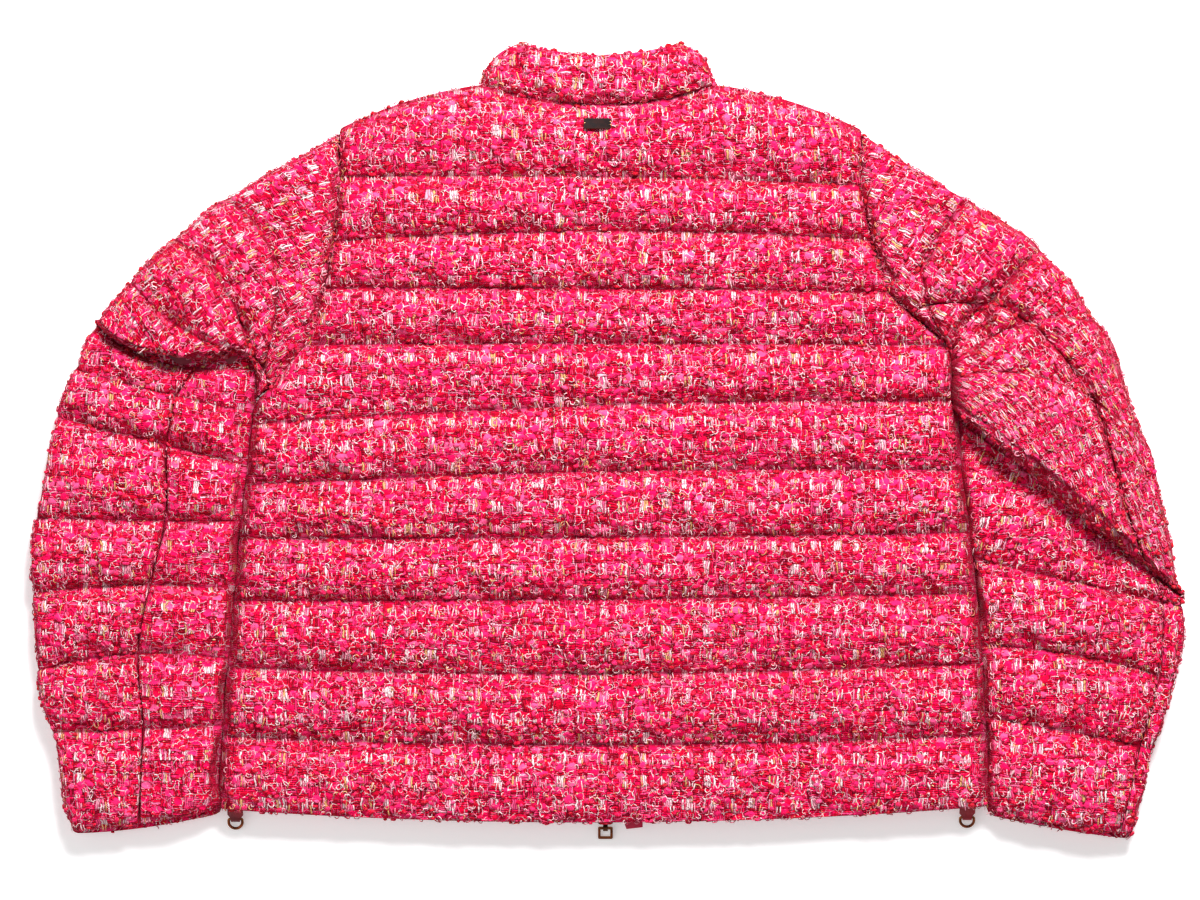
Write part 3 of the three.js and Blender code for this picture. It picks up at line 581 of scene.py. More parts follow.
def frontPanel(side):
    sign = -1 if side == "left" else 1
    row, share = bodyRowList(), spread(56, 0.3)[None, :]
    # The share of a front's columns that lies under its shoulder; the others go on to the zip.
    split = 0.52
    outer01 = np.clip(share / split, 0, 1)
    s = neck["left"] * outer01 if side == "left" else 1 - (1 - neck["right"]) * outer01
    f = np.clip((share - split) / (1 - split), 0, 1)
    zipX = zipLine["x"] + sign * zipLine["opening"]
    x, y = bodyPlan(s, row)
    at = np.maximum(row, 1)
    startX, _ = bodyPlan(np.array([[neck[side]]]), at)
    leftX, rightX = bodyValue("leftX", at), bodyValue("rightX", at)
    farX = mix(startX, zipX, f)
    farY = throughThree(bodyValue("leftY", at), bodyValue("centreY", at), bodyValue("rightY", at),
                        (farX - leftX) / (rightX - leftX))
    along, lower = quarter(f)
    neckX = mix(neck[f"{side}X"], zipX, along)
    neckY = neck["pointY"] - neck["frontDrop"] * lower
    rise = np.clip(row, 0, 1)
    farX = np.where(row < 1, mix(neckX, farX, rise), farX)
    farY = np.where(row < 1, mix(neckY, farY, rise), farY)
    x, y = np.where(share > split, farX, x), np.where(share > split, farY, y)
    y = y + zipLine["hemLift"] * easeIn(row, lastRow - 0.5, lastRow)
    wall = bodyWall(np.where(share > split, 0.5, s), row, x, y, 31 + sign)
    lift = zipLine["edgeLift"] * easeIn(f, 0.86, 1)
    z = np.maximum(halves["front"] - wall - 0.3, np.maximum(lift, cloth["contact"]))
    outer = np.stack([x, y, z], axis=2)
    inner = np.stack([x, y, halves["front"] - hemOpening(row, 1 - share) * 0.9], axis=2)
    return bodyPanel(f"front_{side}", outer, inner, row, 1.4, 30, -sign)


def smoothColumn(rows, name, at):
    values = rows[name]
    index = np.minimum(int(at), len(values) - 2)
    f = at - index
    take = lambda k: values[min(max(k, 0), len(values) - 1)]
    before, a, b, after = (take(index + k) for k in (-1, 0, 1, 2))
    m0, m1 = 0.35 * (b - before), 0.35 * (after - a)
    return ((2 * f**3 - 3 * f**2 + 1) * a + (f**3 - 2 * f**2 + f) * m0
            + (3 * f**2 - 2 * f**3) * b + (f**3 - f**2) * m1)


def armholeCurve(side):
    names = ("leftX", "leftY") if side == "left" else ("rightX", "rightY")
    stops = [r for r in bodyRows["row"] if r <= armpit[side] + 0.001]
    corners = np.array([[np.interp(r, bodyRows["row"], bodyRows[n]) for n in names] for r in stops])
    long = arcLength(corners)
    return lambda v: np.stack([np.interp(v, long / long[-1], corners[:, k]) for k in range(2)], axis=-1)


def sleeveRowList(side):
    fold = sleeveFold[side]
    last = len(sleeves[side]["ox"]) - 1
    rows = []
    for ring in range(last):
        if ring == fold["ring"]:
            count = len(fold["turn"])
            rows += [(ring + k / count, k) for k in range(count)]
        else:
            rows += [(ring + f, None) for f in channelSteps]
    return rows + [(last, None)]


def sleevePiece(side, piece):
    rows, fold = sleeves[side], sleeveFold[side]
    sign = -1 if side == "left" else 1
    last = len(rows["ox"]) - 1
    armhole = armholeCurve(side)
    columns = 44 if piece == "top" else 40
    places = spread(columns, 0.3)
    dense = np.linspace(0, 1, 160) ** 3
    stations = np.array([0.0, 0.5, 0.8])
    meeting = cloth["meeting"]

    def plan(at, v):
        swell = cloth["bulge"] * puffAt(at) * (at >= 1)
        ends = {name: smoothColumn(rows, name, at) for name in ("ox", "oy", "mx", "my", "iy")}
        notch = cloth["bulge"] * (1 - puffAt(at)) * (at >= fold["ring"] + 2) - cloth["press"]
        innerX = divideAt(side, ends["iy"]) + sign * notch
        curve = np.stack([throughThree(ends["ox"] + sign * swell, ends["mx"], innerX, v),
                          throughThree(ends["oy"], ends["my"], ends["iy"], v)], axis=-1)
        return mix(armhole(v), curve, easeIn(np.array(at), 0, 0.6)) if at < 0.6 else curve

    outer, inner, ways = [], [], []
    for at, turn in sleeveRowList(side):
        ring = min(int(at), last - 1)
        f = at - ring
        full = float(puffAt(np.array(at)))
        lines = mix(rows["line"][ring], rows["line"][ring + 1], f)
        top = mix(lines, rows["puff"][ring], full)
        floor = cloth["contact"] + cloth["groove"] * (1 - full)
        back, front = (np.interp(at, range(last + 1), rows[name]) for name in ("back", "front"))
        if turn is not None:
            top = fold["turn"][turn][1]
            floor = cloth["groove"]
        ahead = plan(min(at + 0.6, last), stations) - plan(max(at - 0.6, 0), stations)
        ahead /= np.linalg.norm(ahead, axis=1, keepdims=True)
        wide = np.linalg.norm(plan(at, np.array([0.0]))[0] - plan(at, np.array([1.0]))[0])
        gap = cloth["seamAir"] / 2 / wide

        def layer(v, over):
            flat = plan(at, v)
            rise = roundEdge(v, 3 if over else 7)
            z = meeting + ((top if over else floor) - meeting) * rise
            if over and turn is not None:
                hold = easeIn(v, fold["from"], fold["to"]) * rise
                way = np.stack([np.interp(v, stations, ahead[:, k]) for k in range(2)], axis=-1)
                flat = flat + way * (fold["turn"][turn][0] * hold)[:, None]
            if over:
                depth = crease(flat[:, 0], flat[:, 1], sleeveCreases[side])
                z = z - np.minimum(depth, z - meeting - 1) * rise
                z = z + full * rise * 0.8 * wobble(flat[:, 0], flat[:, 1], 30, 51 + sign)
                fromSeam = np.linalg.norm(flat - armhole(v), axis=1)
                z = z - (z - meeting) * cloth["dip"] * np.exp(-((fromSeam / cloth["dipWidth"]) ** 2))
                inward = np.clip(((1 - v) * wide - cloth["flange"]) / (0.7 * cloth["sideRound"]), 0, 1)
                beside = easeIn(np.array(at), fold["ring"] + 1.2, fold["ring"] + 2)
                z = z - (z - meeting - 1) * (1 - np.sqrt(1 - (1 - inward) ** 2)) * beside
            return np.concatenate([flat, z[:, None]], axis=1)

        if piece == "top":
            curve = [layer((front - gap) * dense[::-1], False), layer((back - gap) * dense[1:], True)]
        else:
            curve = [layer(1 - (1 - back - gap) * dense[::-1], True),
                     layer(1 - (1 - front - gap) * dense[1:], False)]
        curve = np.concatenate(curve)
        section = resampled(curve, places)
        long = np.linalg.norm(np.diff(curve, axis=0), axis=1).sum()
        # Both seams lie in a shallow ditch.
        for distance in (places * long, (1 - places) * long):
            ditch = 0.3 * np.exp(-((distance / cloth["dipWidth"]) ** 2))
            section[:, 2] += (meeting - section[:, 2]) * ditch
        outer.append(section)
        # The inner wall keeps off the folded edge, and the cuff stands a little open.
        middle = plan(at, np.array([0.5]))[0]
        gone = easeIn(np.array(at), last - 0.9, last)
        half = cloth["between"] / 2 + cloth["mouth"] * gone
        toMiddle = middle - section[:, :2]
        toMiddle /= np.maximum(np.linalg.norm(toMiddle, axis=1, keepdims=True), 1e-6)
        foldEnd = plan(at, np.array([0.0 if piece == "top" else 1.0]))[0]
        near = np.linalg.norm(section[:, :2] - foldEnd, axis=1)
        inset = np.maximum(cloth["foldWall"] - near, 0)
        level = meeting + np.clip((section[:, 2] - meeting) / 2, -1, 1) * half
        inner.append(np.concatenate([section[:, :2] + toMiddle * inset[:, None], level[:, None]], axis=1))
        heading = math.radians(np.interp(at, *sleeveGrain[side]))
        ways.append((math.sin(heading), -math.cos(heading)))
        onwards = ahead[1]
    outer, inner, ways = np.array(outer), np.array(inner), np.array(ways)
    outwards = np.zeros_like(outer[-1])
    outwards[:, :2] = onwards
    # At the cuff the under layer reaches a little further than the one on top.
    peek = fold["peek"] * easeIn(meeting - outer[-1][:, 2], 0, 4)
    tail = easeIn(np.arange(len(outer)), len(outer) - 5, len(outer) - 1)
    further = tail[:, None, None] * peek[None, :, None] * outwards[None]
    outer, inner, added = rolledUnder(outer + further, inner + further, outwards, 1.6)
    ways = np.concatenate([ways, np.repeat(ways[-1:], added, axis=0)])
    reference = int(columns * (0.75 if piece == "top" else 0.2))
    rows01 = np.array([at for at, _ in sleeveRowList(side)] + [last] * added)
    # No line of stitches crosses the fold.
    folded = (rows01 > fold["ring"] + 0.05) & (rows01 < fold["ring"] + 0.95)
    rows01 = np.where(folded, fold["ring"] + 0.5, rows01)
    return panel(f"sleeve_{side}_{piece}", outer, inner, grain(outer, reference, ways, -sign), rows01)


# How the collar is cut: the heights of its rows, and shares of the way from a shoulder to the zip.
collarCut = {"heights": (0, 0.06, 0.16, 0.3, 0.45, 0.6, 0.74, 0.86, 0.95, 1),
             "stops": (0.05, 0.15, 0.3, 0.45, 0.6, 0.75, 0.9, 1),
             "columns": 110, "margin": 0.06, "start": 0.15, "underside": 3.5}


def collarStrip():
    gap = cloth["seamAir"]
    first, final = ({name: collarRows[name][k] for name in collarRows} for k in (0, -1))
    outer, inner = [], []
    for at in collarCut["heights"]:
        fold = {name: np.interp(at, collarRows["at"], collarRows[name]) for name in collarRows}
        rise = 1 - abs(2 * at - 1) ** 4
        line = mix(cloth["top"] + 0.6, cloth["seam"] + 1, at)
        thick = mix(line, cloth["puff"] - 2, rise)
        track, inward = [], []

        def station(side, f, back):
            way = 1 if side == "left" else -1
            spot = lambda rows: np.array([rows[f"{side}X"], rows[f"{side}Y"]])
            if back:
                s = mix(neck["left"], neck["right"], f)
                bx, by = bodyPlan(np.array([[s]]), np.array([[0.0]]))
                base = np.array([bx[0, 0], by[0, 0] + gap + 0.3])
                share = mix(collarCut["margin"], 1 - collarCut["margin"], f)
                top = np.array([mix(final["leftX"], final["rightX"], share),
                                throughThree(final["leftY"], collarTop["backY"], final["rightY"], share)])
                near = abs(2 * f - 1) ** 4
            else:
                zipX = zipLine["x"] - way * zipLine["opening"]
                along, lower = quarter(f)
                base = np.array([mix(neck[f"{side}X"], zipX, along) + way * gap * (1 - along),
                                 neck["pointY"] - neck["frontDrop"] * lower + gap * max(lower, 0.5)])
                along, lower = quarter(mix(collarCut["start"], 1, f))
                top = np.array([mix(final[f"{side}X"], zipX, along),
                                mix(final[f"{side}Y"], collarTop["frontY"], lower)])
                near = (1 - f) ** 3
            return mix(base, top, at) + near * (spot(fold) - mix(spot(first), spot(final), at))

        for part, order in (("left", collarCut["stops"][::-1]), ("back", np.linspace(0.02, 0.98, 33)),
                            ("right", collarCut["stops"])):
            for f in order:
                if part == "back":
                    flat = station("left" if f < 0.5 else "right", f, True)
                    z = halves["back"] + thick * mix(0.5, 1, float(roundEdge(np.array(f), 4)))
                else:
                    flat = station(part, f, False)
                    z = cloth["contact"] + collarCut["underside"] * (1 - rise)
                track.append((*flat, z))
                inward.append((*flat, halves["back" if part == "back" else "front"]))
            if part != "right":
                edge, way = ("left", 1) if part == "left" else ("right", -1)
                turn = fold[f"{edge}X"], fold[f"{edge}Y"], cloth["meeting"]
                track.append(turn)
                inward.append((turn[0] + way * cloth["foldWall"], *turn[1:]))
        places = spread(collarCut["columns"], 0.1)
        outer.append(resampled(np.array(track), places))
        inner.append(resampled(np.array(track), places, np.array(inward)))
    outer, inner = np.array(outer), np.array(inner)
    # Rounds off the corners of each section where it turns over a fold.
    for _ in range(3):
        outer[:, 1:-1] = (outer[:, :-2] + 2 * outer[:, 1:-1] + outer[:, 2:]) / 4
    x, y, z = (outer[:, :, k] for k in range(3))
    full = np.sin(math.pi * np.array(collarCut["heights"]))[:, None]
    outer[:, :, 2] += (z > cloth["meeting"]) * full * 0.8 * wobble(x, y, 34, 71)
    ahead = outer[-1] - outer[-3]
    ahead[:, 2] = 0
    ahead /= np.maximum(np.linalg.norm(ahead, axis=1, keepdims=True), 1e-6)
    outer, inner, _ = rolledUnder(outer, inner, ahead, 1.6)
    ways = np.repeat(-down[None], len(outer), axis=0)
    return panel("collar", outer, inner, grain(outer, 55, ways, -1), np.full(len(outer), 0.5), rowStep=5)


panels = {"back": backPanel()}
for side in ("left", "right"):
    panels[f"front_{side}"] = frontPanel(side)
panels["collar"] = collarStrip()
for side in ("left", "right"):
    for part in ("top", "under"):
        panels[f"sleeve_{side}_{part}"] = sleevePiece(side, part)
for name, piece in panels.items():
    print("swollen", name, round(swellPiece(piece) / mm, 2))
    refine(piece)
print("panels", {name: len(piece.data.polygons) for name, piece in panels.items()})


class Wire:
    # A socket of a material, on which maths can be written out.
    def __init__(self, tree, socket=None):
        self.tree, self.socket = tree, socket

    def node(self, kind, settings=None, values=None, out=0):
        made = self.tree.nodes.new(kind)
        for name, value in (settings or {}).items():
            if name == "stops":
                ramp = made.color_ramp
                while len(ramp.elements) < len(value):
                    ramp.elements.new(0.5)
                for stop, (where, colour) in zip(ramp.elements, value):
                    stop.position, stop.color = where, (*colour, 1)
            elif name == "interpolation":
                made.color_ramp.interpolation = value
            else:
                setattr(made, name, value)
        for name, value in (values or {}).items():
            if isinstance(value, Wire):
                self.tree.links.new(value.socket, made.inputs[name])
            else:
                made.inputs[name].default_value = value
        return Wire(self.tree, made.outputs[out])

    def maths(self, operation, *values):
        return self.node("ShaderNodeMath", {"operation": operation}, dict(enumerate(values)))

    def __add__(self, other):
        return self.maths("ADD", self, other)

    def __sub__(self, other):
        return self.maths("SUBTRACT", self, other)

    def __mul__(self, other):
        return self.maths("MULTIPLY", self, other)

    def __rsub__(self, other):
        return self.maths("SUBTRACT", other, self)

    __radd__, __rmul__ = __add__, __mul__

    def floor(self):
        return self.maths("FLOOR", self)

    def fraction(self):
        return self.maths("FRACT", self)

    def over(self, limit):
        return self.maths("GREATER_THAN", self, limit)

    def eased(self, low, high):
        return self.node("ShaderNodeMapRange", {"interpolation_type": "SMOOTHSTEP"},
                         {"Value": self, "From Min": low, "From Max": high})

    def blend(self, a, b):
        return self.node("ShaderNodeMix", {"data_type": "FLOAT"}, {0: self, 2: a, 3: b})

    def tint(self, a, b, way="MIX"):
        return self.node("ShaderNodeMix", {"data_type": "RGBA", "blend_type": way}, {0: self, 6: a, 7: b}, 2)

    def vector(self, operation, *values):
        return self.node("ShaderNodeVectorMath", {"operation": operation}, dict(enumerate(values)))

    def stepped(self, palette):
        # A ramp of flat colours, each as wide as its share.
        settings = {"interpolation": "CONSTANT", "stops": shares(palette)}
        return self.node("ShaderNodeValToRGB", settings, {0: self})

    def attribute(self, name, out="Fac"):
        return self.node("ShaderNodeAttribute", {"attribute_name": name}, None, out)

    def ownSpace(self):
        return self.node("ShaderNodeTexCoord", None, None, "Object")

    def dice(self, dimensions, *values):
        return self.node("ShaderNodeTexWhiteNoise", {"noise_dimensions": dimensions},
                         {"Vector": self.together(*values)})

    def cells(self, where, size, **settings):
        return self.node("ShaderNodeTexVoronoi", {"voronoi_dimensions": "2D", **settings},
                         {"Vector": where, "Scale": 1 / (size * mm), "Randomness": 1.0})

    def xyz(self):
        parts = self.node("ShaderNodeSeparateXYZ", None, {0: self})
        return [Wire(self.tree, socket) for socket in parts.socket.node.outputs]

    def together(self, x, y, z=0.0):
        return self.node("ShaderNodeCombineXYZ", None, {0: x, 1: y, 2: z})

    def noise(self, where, size, detail=2.0, roughness=0.5, out=0):
        return self.node("ShaderNodeTexNoise", {"noise_dimensions": "3D"}, {
            "Vector": where, "Scale": 1 / size, "Detail": detail, "Roughness": roughness}, out)


def srgb(red, green, blue):
    return tuple(c / 12.92 if c <= 0.04045 else ((c + 0.055) / 1.055) ** 2.4
                 for c in (red / 255, green / 255, blue / 255))


def rgba(*colour):
    return (*srgb(*colour), 1)


def newMaterial(name):
    material = bpy.data.materials.new(name)
    material.use_nodes = True
    tree = material.node_tree
    shader = tree.nodes["Principled BSDF"]
    return material, Wire(tree), shader


def setShader(shader, **values):
    for name, value in values.items():
        socket = shader.inputs[name.replace("_", " ")]
        if isinstance(value, Wire):
            value.tree.links.new(value.socket, socket)
        else:
            socket.default_value = value


def bump(paint, height, size, strength=1.0, normal=None):
    values = {"Height": height, "Distance": size, "Strength": strength}
    if normal is not None:
        values["Normal"] = normal
    return paint.node("ShaderNodeBump", None, values)


def shares(palette):
    # Stops of a stepped ramp from (share, colour) rows.
    total = sum(share for share, _ in palette)
    stops, at = [], 0
    for share, colour in palette:
        stops.append((at / total, srgb(*colour)))
        at += share
    return stops


weave = {
    "across": 8.0, "along": 8.6,      # one block of the basket weave
    "yarns": 5,                       # yarns side by side in a block
    "drift": 1.8, "wander": 1.2,      # how far the weave strays, in long and in short waves
    "lump": 7.2, "curl": 5.5,         # spacing of the lumpy slubs and of the curls
    "relief": 1.5,
}
tints = {name: rgba(*colour) for name, colour in {
    "frayDark": (136, 0, 34), "frayPale": (248, 104, 152),
    "curlPale": (254, 216, 222), "curlDeep": (246, 112, 156),
    # Three of these are painted shade: the dark of gaps between yarns, of quilting lines and valleys, and of
    # cloth leaning into a seam.
    "glint": (238, 190, 140), "gap": (92, 0, 20), "stitch": (76, 0, 18), "shade": (214, 6, 66),
    "leaningShade": (150, 0, 34), "fibre": (255, 150, 176), "sheen": (255, 190, 205),
    "yarnPale": (255, 180, 196), "yarnDeep": (190, 40, 80),
    "tapeDark": (88, 6, 26), "tapeLight": (158, 20, 58), "tapeWorn": (140, 16, 50),
    "paper": (246, 246, 247), "paperLight": (250, 250, 250), "white": (255, 255, 255),
}.items()}
ladder = ((22, (255, 226, 228)), (18, (253, 160, 184)), (10, (224, 174, 112)), (18, (246, 66, 124)),
          (18, (238, 4, 72)), (14, (196, 0, 38)))
blocks = ((14, (134, 0, 20)), (20, (196, 0, 34)), (28, (232, 0, 52)), (25, (246, 4, 78)),
          (10, (246, 40, 106)), (2, (247, 100, 144)), (1, (251, 182, 200)))
curls = ((34, (255, 230, 231)), (26, (254, 180, 200)), (10, (236, 190, 134)), (18, (247, 92, 144)),
         (12, (238, 24, 88)))
nubs = ((30, (244, 10, 84)), (28, (246, 38, 108)), (12, (248, 84, 140)), (18, (228, 0, 56)),
        (12, (194, 0, 38)))


def tweedMaterial():
    material, paint, shader = newMaterial("tweed")
    uv = paint.node("ShaderNodeUVMap", {"uv_map": "Grain"})
    stray = paint.noise(uv, 0.016, 1.0, out=1)
    near = paint.noise(uv, 0.0045, 1.0, out=1)
    warped = paint.vector("MULTIPLY_ADD", stray, (weave["drift"] * mm * 2,) * 3, uv)
    warped = paint.vector("MULTIPLY_ADD", near, (weave["wander"] * mm * 2,) * 3, warped)
    cell = paint.vector("MULTIPLY", warped, (1 / (weave["across"] * mm), 1 / (weave["along"] * mm), 1))
    x, y, _ = cell.xyz()
    column, row = x.floor(), y.floor()
    oddColumn, oddRow = (column * 0.5).fraction() * 2, (row * 0.5).fraction() * 2
    pick = paint.dice("2D", column, row)
    isLadder = (1 - oddColumn) * (1 - oddRow)
    upright = paint.maths("MAXIMUM", isLadder, oddColumn * oddRow * pick.over(0.45))
    across = upright.blend(y - row, x - column)
    along = upright.blend(x - column, y - row)
    yarn = across * weave["yarns"]
    number = yarn.floor()
    share = yarn - number
    single = 1 - (share * 2 - 1) * (share * 2 - 1)
    pillow = along * (1 - along) * 4
    dice = paint.dice("3D", column, row, number)
    pale, deep = dice.stepped(ladder), dice.stepped(blocks)
    colour = isLadder.tint(deep, pale)
    height = single.maths("POWER", single, 0.5) * pillow.maths("POWER", pillow, 0.35)
    # Frayed fibres break the yarns up into darker and paler bits.
    fray = paint.noise(paint.vector("MULTIPLY", warped, (1, 0.6, 1)), 0.0023, 2.0)
    colour = (fray.eased(0.45, 0.36) * 0.8).tint(colour, tints["frayDark"])
    colour = (fray.eased(0.56, 0.66) * 0.6).tint(colour, tints["frayPale"])
    # Lumpy slubs lie over the blocks, and thin curls of yarn over both.
    stretched = paint.vector("MULTIPLY", warped, (0.8, 1.15, 1))
    lump = paint.cells(stretched, weave["lump"])
    lumpDice = Wire(paint.tree, lump.socket.node.outputs["Color"]).xyz()
    lump = lump + (paint.noise(uv, 0.0028, 2.0) - 0.5) * 0.5
    isLump = lump.eased(0.44, 0.36) * lumpDice[0].over(0.5)
    colour = isLump.tint(colour, lumpDice[1].stepped(nubs))
    height = isLump.blend(height * 0.75, 1.35 - lump * 1.6)
    curlWarp = paint.vector("MULTIPLY_ADD", paint.noise(uv, 0.0035, 2.0, out=1), (3 * mm,) * 3, uv)
    curl = paint.cells(curlWarp, weave["curl"], feature="DISTANCE_TO_EDGE")
    isCurl = curl.eased(0.06, 0.035) * paint.noise(uv, 0.0065, 1.0).eased(0.46, 0.5)
    curlTint = paint.noise(uv, 0.009, 0.0).eased(0.4, 0.6).tint(tints["curlPale"], tints["curlDeep"])
    colour = isCurl.tint(colour, curlTint)
    height = height + isCurl * 0.35
    glint = paint.noise(uv, 0.0024, 0.0).over(0.76) * paint.noise(uv, 0.02, 0.0).eased(0.4, 0.6)
    colour = (glint * 0.85).tint(colour, tints["glint"])
    # Painted shade in the low gaps between yarns, and slow random changes of tone over the cloth.
    # Painted shade: where the woven height is low, between yarns, the colour goes dark maroon.
    gap = height.eased(0.52, 0.14)
    colour = (gap * 0.9).tint(colour, tints["gap"])
    # Painted shade darkens the quilting lines and the valley beside a sleeve.
    seamShade = paint.attribute("Stitched")
    colour = (seamShade * 0.8).tint(colour, tints["stitch"])
    shade = paint.noise(uv, 0.09, 1.0).eased(0.3, 0.7)
    colour = (shade * 0.12).tint(colour, tints["shade"])
    # Painted shade on cloth that leans over into a seam.
    colour = (paint.attribute("Steep") * 0.7).tint(colour, tints["leaningShade"])
    fibre = paint.noise(uv, 0.0009, 3.0, 0.65)
    colour = ((fibre - 0.5) * 0.25).tint(colour, tints["fibre"], "SCREEN")
    normal = bump(paint, height * (1 - seamShade * 0.6) + fibre * 0.25, weave["relief"] * mm, 1.0)
    setShader(shader, Base_Color=colour, Roughness=0.95 - isCurl * 0.2 - glint * 0.5, Normal=normal,
              Metallic=glint * 0.5)
    setShader(shader, Sheen_Weight=0.02, Sheen_Roughness=0.5, Specular_IOR_Level=0.05)
    shader.inputs["Sheen Tint"].default_value = tints["sheen"]
    return material


def yarnMaterial():
    material, paint, shader = newMaterial("loose_yarn")
    own = paint.attribute("Colour", 0)
    fibre = paint.noise(paint.ownSpace(), 0.0011, 2.0, 0.6)
    colour = ((fibre - 0.45) * 0.45).tint(own, tints["yarnPale"], "SCREEN")
    colour = (fibre.eased(0.55, 0.35) * 0.7).tint(colour, tints["yarnDeep"], "MULTIPLY")
    setShader(shader, Base_Color=colour, Roughness=0.85, Normal=bump(paint, fibre, 0.6 * mm, 0.7))
    setShader(shader, Sheen_Weight=0.03, Sheen_Roughness=0.5, Specular_IOR_Level=0.06)
    return material


def liningMaterial(name, dark, light):
    material, paint, shader = newMaterial(name)
    where = paint.ownSpace()
    x, y, _ = where.xyz()
    twill = ((x + y) * (1 / (0.7 * mm))).fraction()
    thread = twill * (1 - twill) * 4
    crumple = paint.noise(where, 0.02, 2.0)
    # Painted shade and highlight: the lining is darker in the hollows of its crumples and lighter on its
    # twill ridges, as its bump is.
    colour = crumple.eased(0.3, 0.7).tint(rgba(*dark), rgba(*light))
    colour = (thread * 0.25).tint(colour, rgba(*light))
    setShader(shader, Base_Color=colour, Roughness=0.42 + crumple * 0.15,
              Normal=bump(paint, thread * 0.2 + crumple * 6, 0.6 * mm, 0.5))
    return material


def tapeMaterial():
    material, paint, shader = newMaterial("zip_tape")
    where = paint.ownSpace()
    x, y, _ = where.xyz()
    ribs = x * (1 / (1.1 * mm))
    rib = ribs.fraction()
    pick = (y * (1 / (0.6 * mm)) + ribs.floor() * 0.5).fraction()
    height = rib * (1 - rib) * 4 * (0.5 + pick * (1 - pick) * 2)
    # Painted shade and highlight: the tape is darker in the grooves between its ribs and lighter on their
    # tops, as its bump is.
    colour = height.tint(tints["tapeDark"], tints["tapeLight"])
    colour = paint.noise(where, 0.006, 2.0).tint(colour, tints["tapeWorn"])
    setShader(shader, Base_Color=colour, Roughness=0.85 - height * 0.1, Normal=bump(paint, height, 0.3 * mm))
    return material


def metalMaterial(name, dark, light, worn, rough, metal=0.95, shine=0.5):
    material, paint, shader = newMaterial(name)
    where = paint.ownSpace()
    patch = paint.noise(where, 0.004, 3.0)
    scratch = paint.noise(paint.vector("MULTIPLY", where, (1, 6, 1)), 0.0012, 2.0)
    edge = paint.node("ShaderNodeNewGeometry", None, None, "Pointiness").eased(0.52, 0.6)
    colour = patch.eased(0.35, 0.65).tint(rgba(*dark), rgba(*light))
    colour = (edge * 0.7).tint(colour, rgba(*worn))
    setShader(shader, Base_Color=colour, Metallic=metal - scratch.over(0.7) * 0.1,
              Roughness=patch * 0.15 + scratch * 0.1 + rough, Normal=bump(paint, scratch, 0.05 * mm, 0.4))
    setShader(shader, Specular_IOR_Level=shine)
    return material


materials = {
    "tweed": tweedMaterial(),
    "yarn": yarnMaterial(),
    "lining": liningMaterial("lining", (92, 4, 24), (150, 12, 50)),
    "crimson": liningMaterial("crimson", (166, 4, 48), (212, 22, 78)),
    "tab": liningMaterial("tab", (96, 0, 16), (158, 6, 34)),
    "tape": tapeMaterial(),
    "bronze": metalMaterial("bronze", (84, 28, 16), (140, 64, 38), (232, 164, 98), 0.2),
    "gold": metalMaterial("gold", (190, 140, 84), (228, 186, 128), (250, 220, 170), 0.3),
    "dark_bronze": metalMaterial("dark_bronze", (30, 14, 12), (52, 28, 22), (120, 76, 52), 0.34),
    "plate": metalMaterial("plate", (16, 5, 6), (34, 14, 12), (98, 60, 42), 0.55, 0.1, 0.15),
}
print("materials", len(materials))

# Loose yarns of the boucle: short upright threads in the ladders, lumpy slubs and fine loops.
threads = {"length": 7.6, "radius": 0.5, "rise": 0.7, "pitch": 2.3, "kept": 0.8, "strayAcross": 0.5,
           "strayAlong": 0.9, "lean": 0.15}
slubs = {"perSquareMetre": 7200, "length": 2.3, "width": 1.6, "height": 1.35, "rise": 0.6, "lean": 0.6,
         "kinds": 4}
loops = {"perSquareMetre": 18000, "radius": 1.8, "wire": 0.36, "rise": 1.0, "lean": 0.8, "lift": 0.35,
         "kinds": 8}
frontYarns = 0.55     # how many of the loose yarns the fronts carry, which lie underneath
# Painted shade: what is left of a yarn's colour where the cloth leans over into a seam.
redShade = np.array([0.72, 0.2, 0.3])


def tubeTemplate(path, radius, sides=3):
    # A closed tube along a path of (across, along, up) points, with its own flat map.
    path = np.array(path, float)
    ahead = np.gradient(path, axis=0)
    ahead /= np.linalg.norm(ahead, axis=1, keepdims=True)
    up = np.array([0.0, 0.0, 1.0]) - ahead * ahead[:, 2:3]
    up /= np.linalg.norm(up, axis=1, keepdims=True)
    across = np.cross(ahead, up)
    points, faces, flat = [], [], []
    for k in range(len(path)):
        for m in range(sides):
            angle = 2 * math.pi * (m + 0.25 * sides) / sides
            points.append(path[k] + radius * (math.cos(angle) * across[k] + math.sin(angle) * up[k]))
    for k in range(len(path) - 1):
        for m in range(sides):
            n = (m + 1) % sides
            faces.append((k * sides + m, k * sides + n, (k + 1) * sides + n, (k + 1) * sides + m))
            u0, u1 = m / sides, (m + 0.96) / sides
            v0, v1 = 0.8 * k / len(path), 0.8 * (k + 0.96) / len(path)
            flat.append(((u0, v0), (u1, v0), (u1, v1), (u0, v1)))
    last = (len(path) - 1) * sides
    faces += [tuple(range(sides))[::-1], tuple(last + m for m in range(sides))]
    ring = [(0.2 + 0.1 * math.cos(2 * math.pi * m / sides), 0.9 + 0.08 * math.sin(2 * math.pi * m / sides))
            for m in range(sides)]
    flat += [tuple(ring[::-1]), tuple((u + 0.4, v) for u, v in ring)]
    return np.array(points), faces, flat


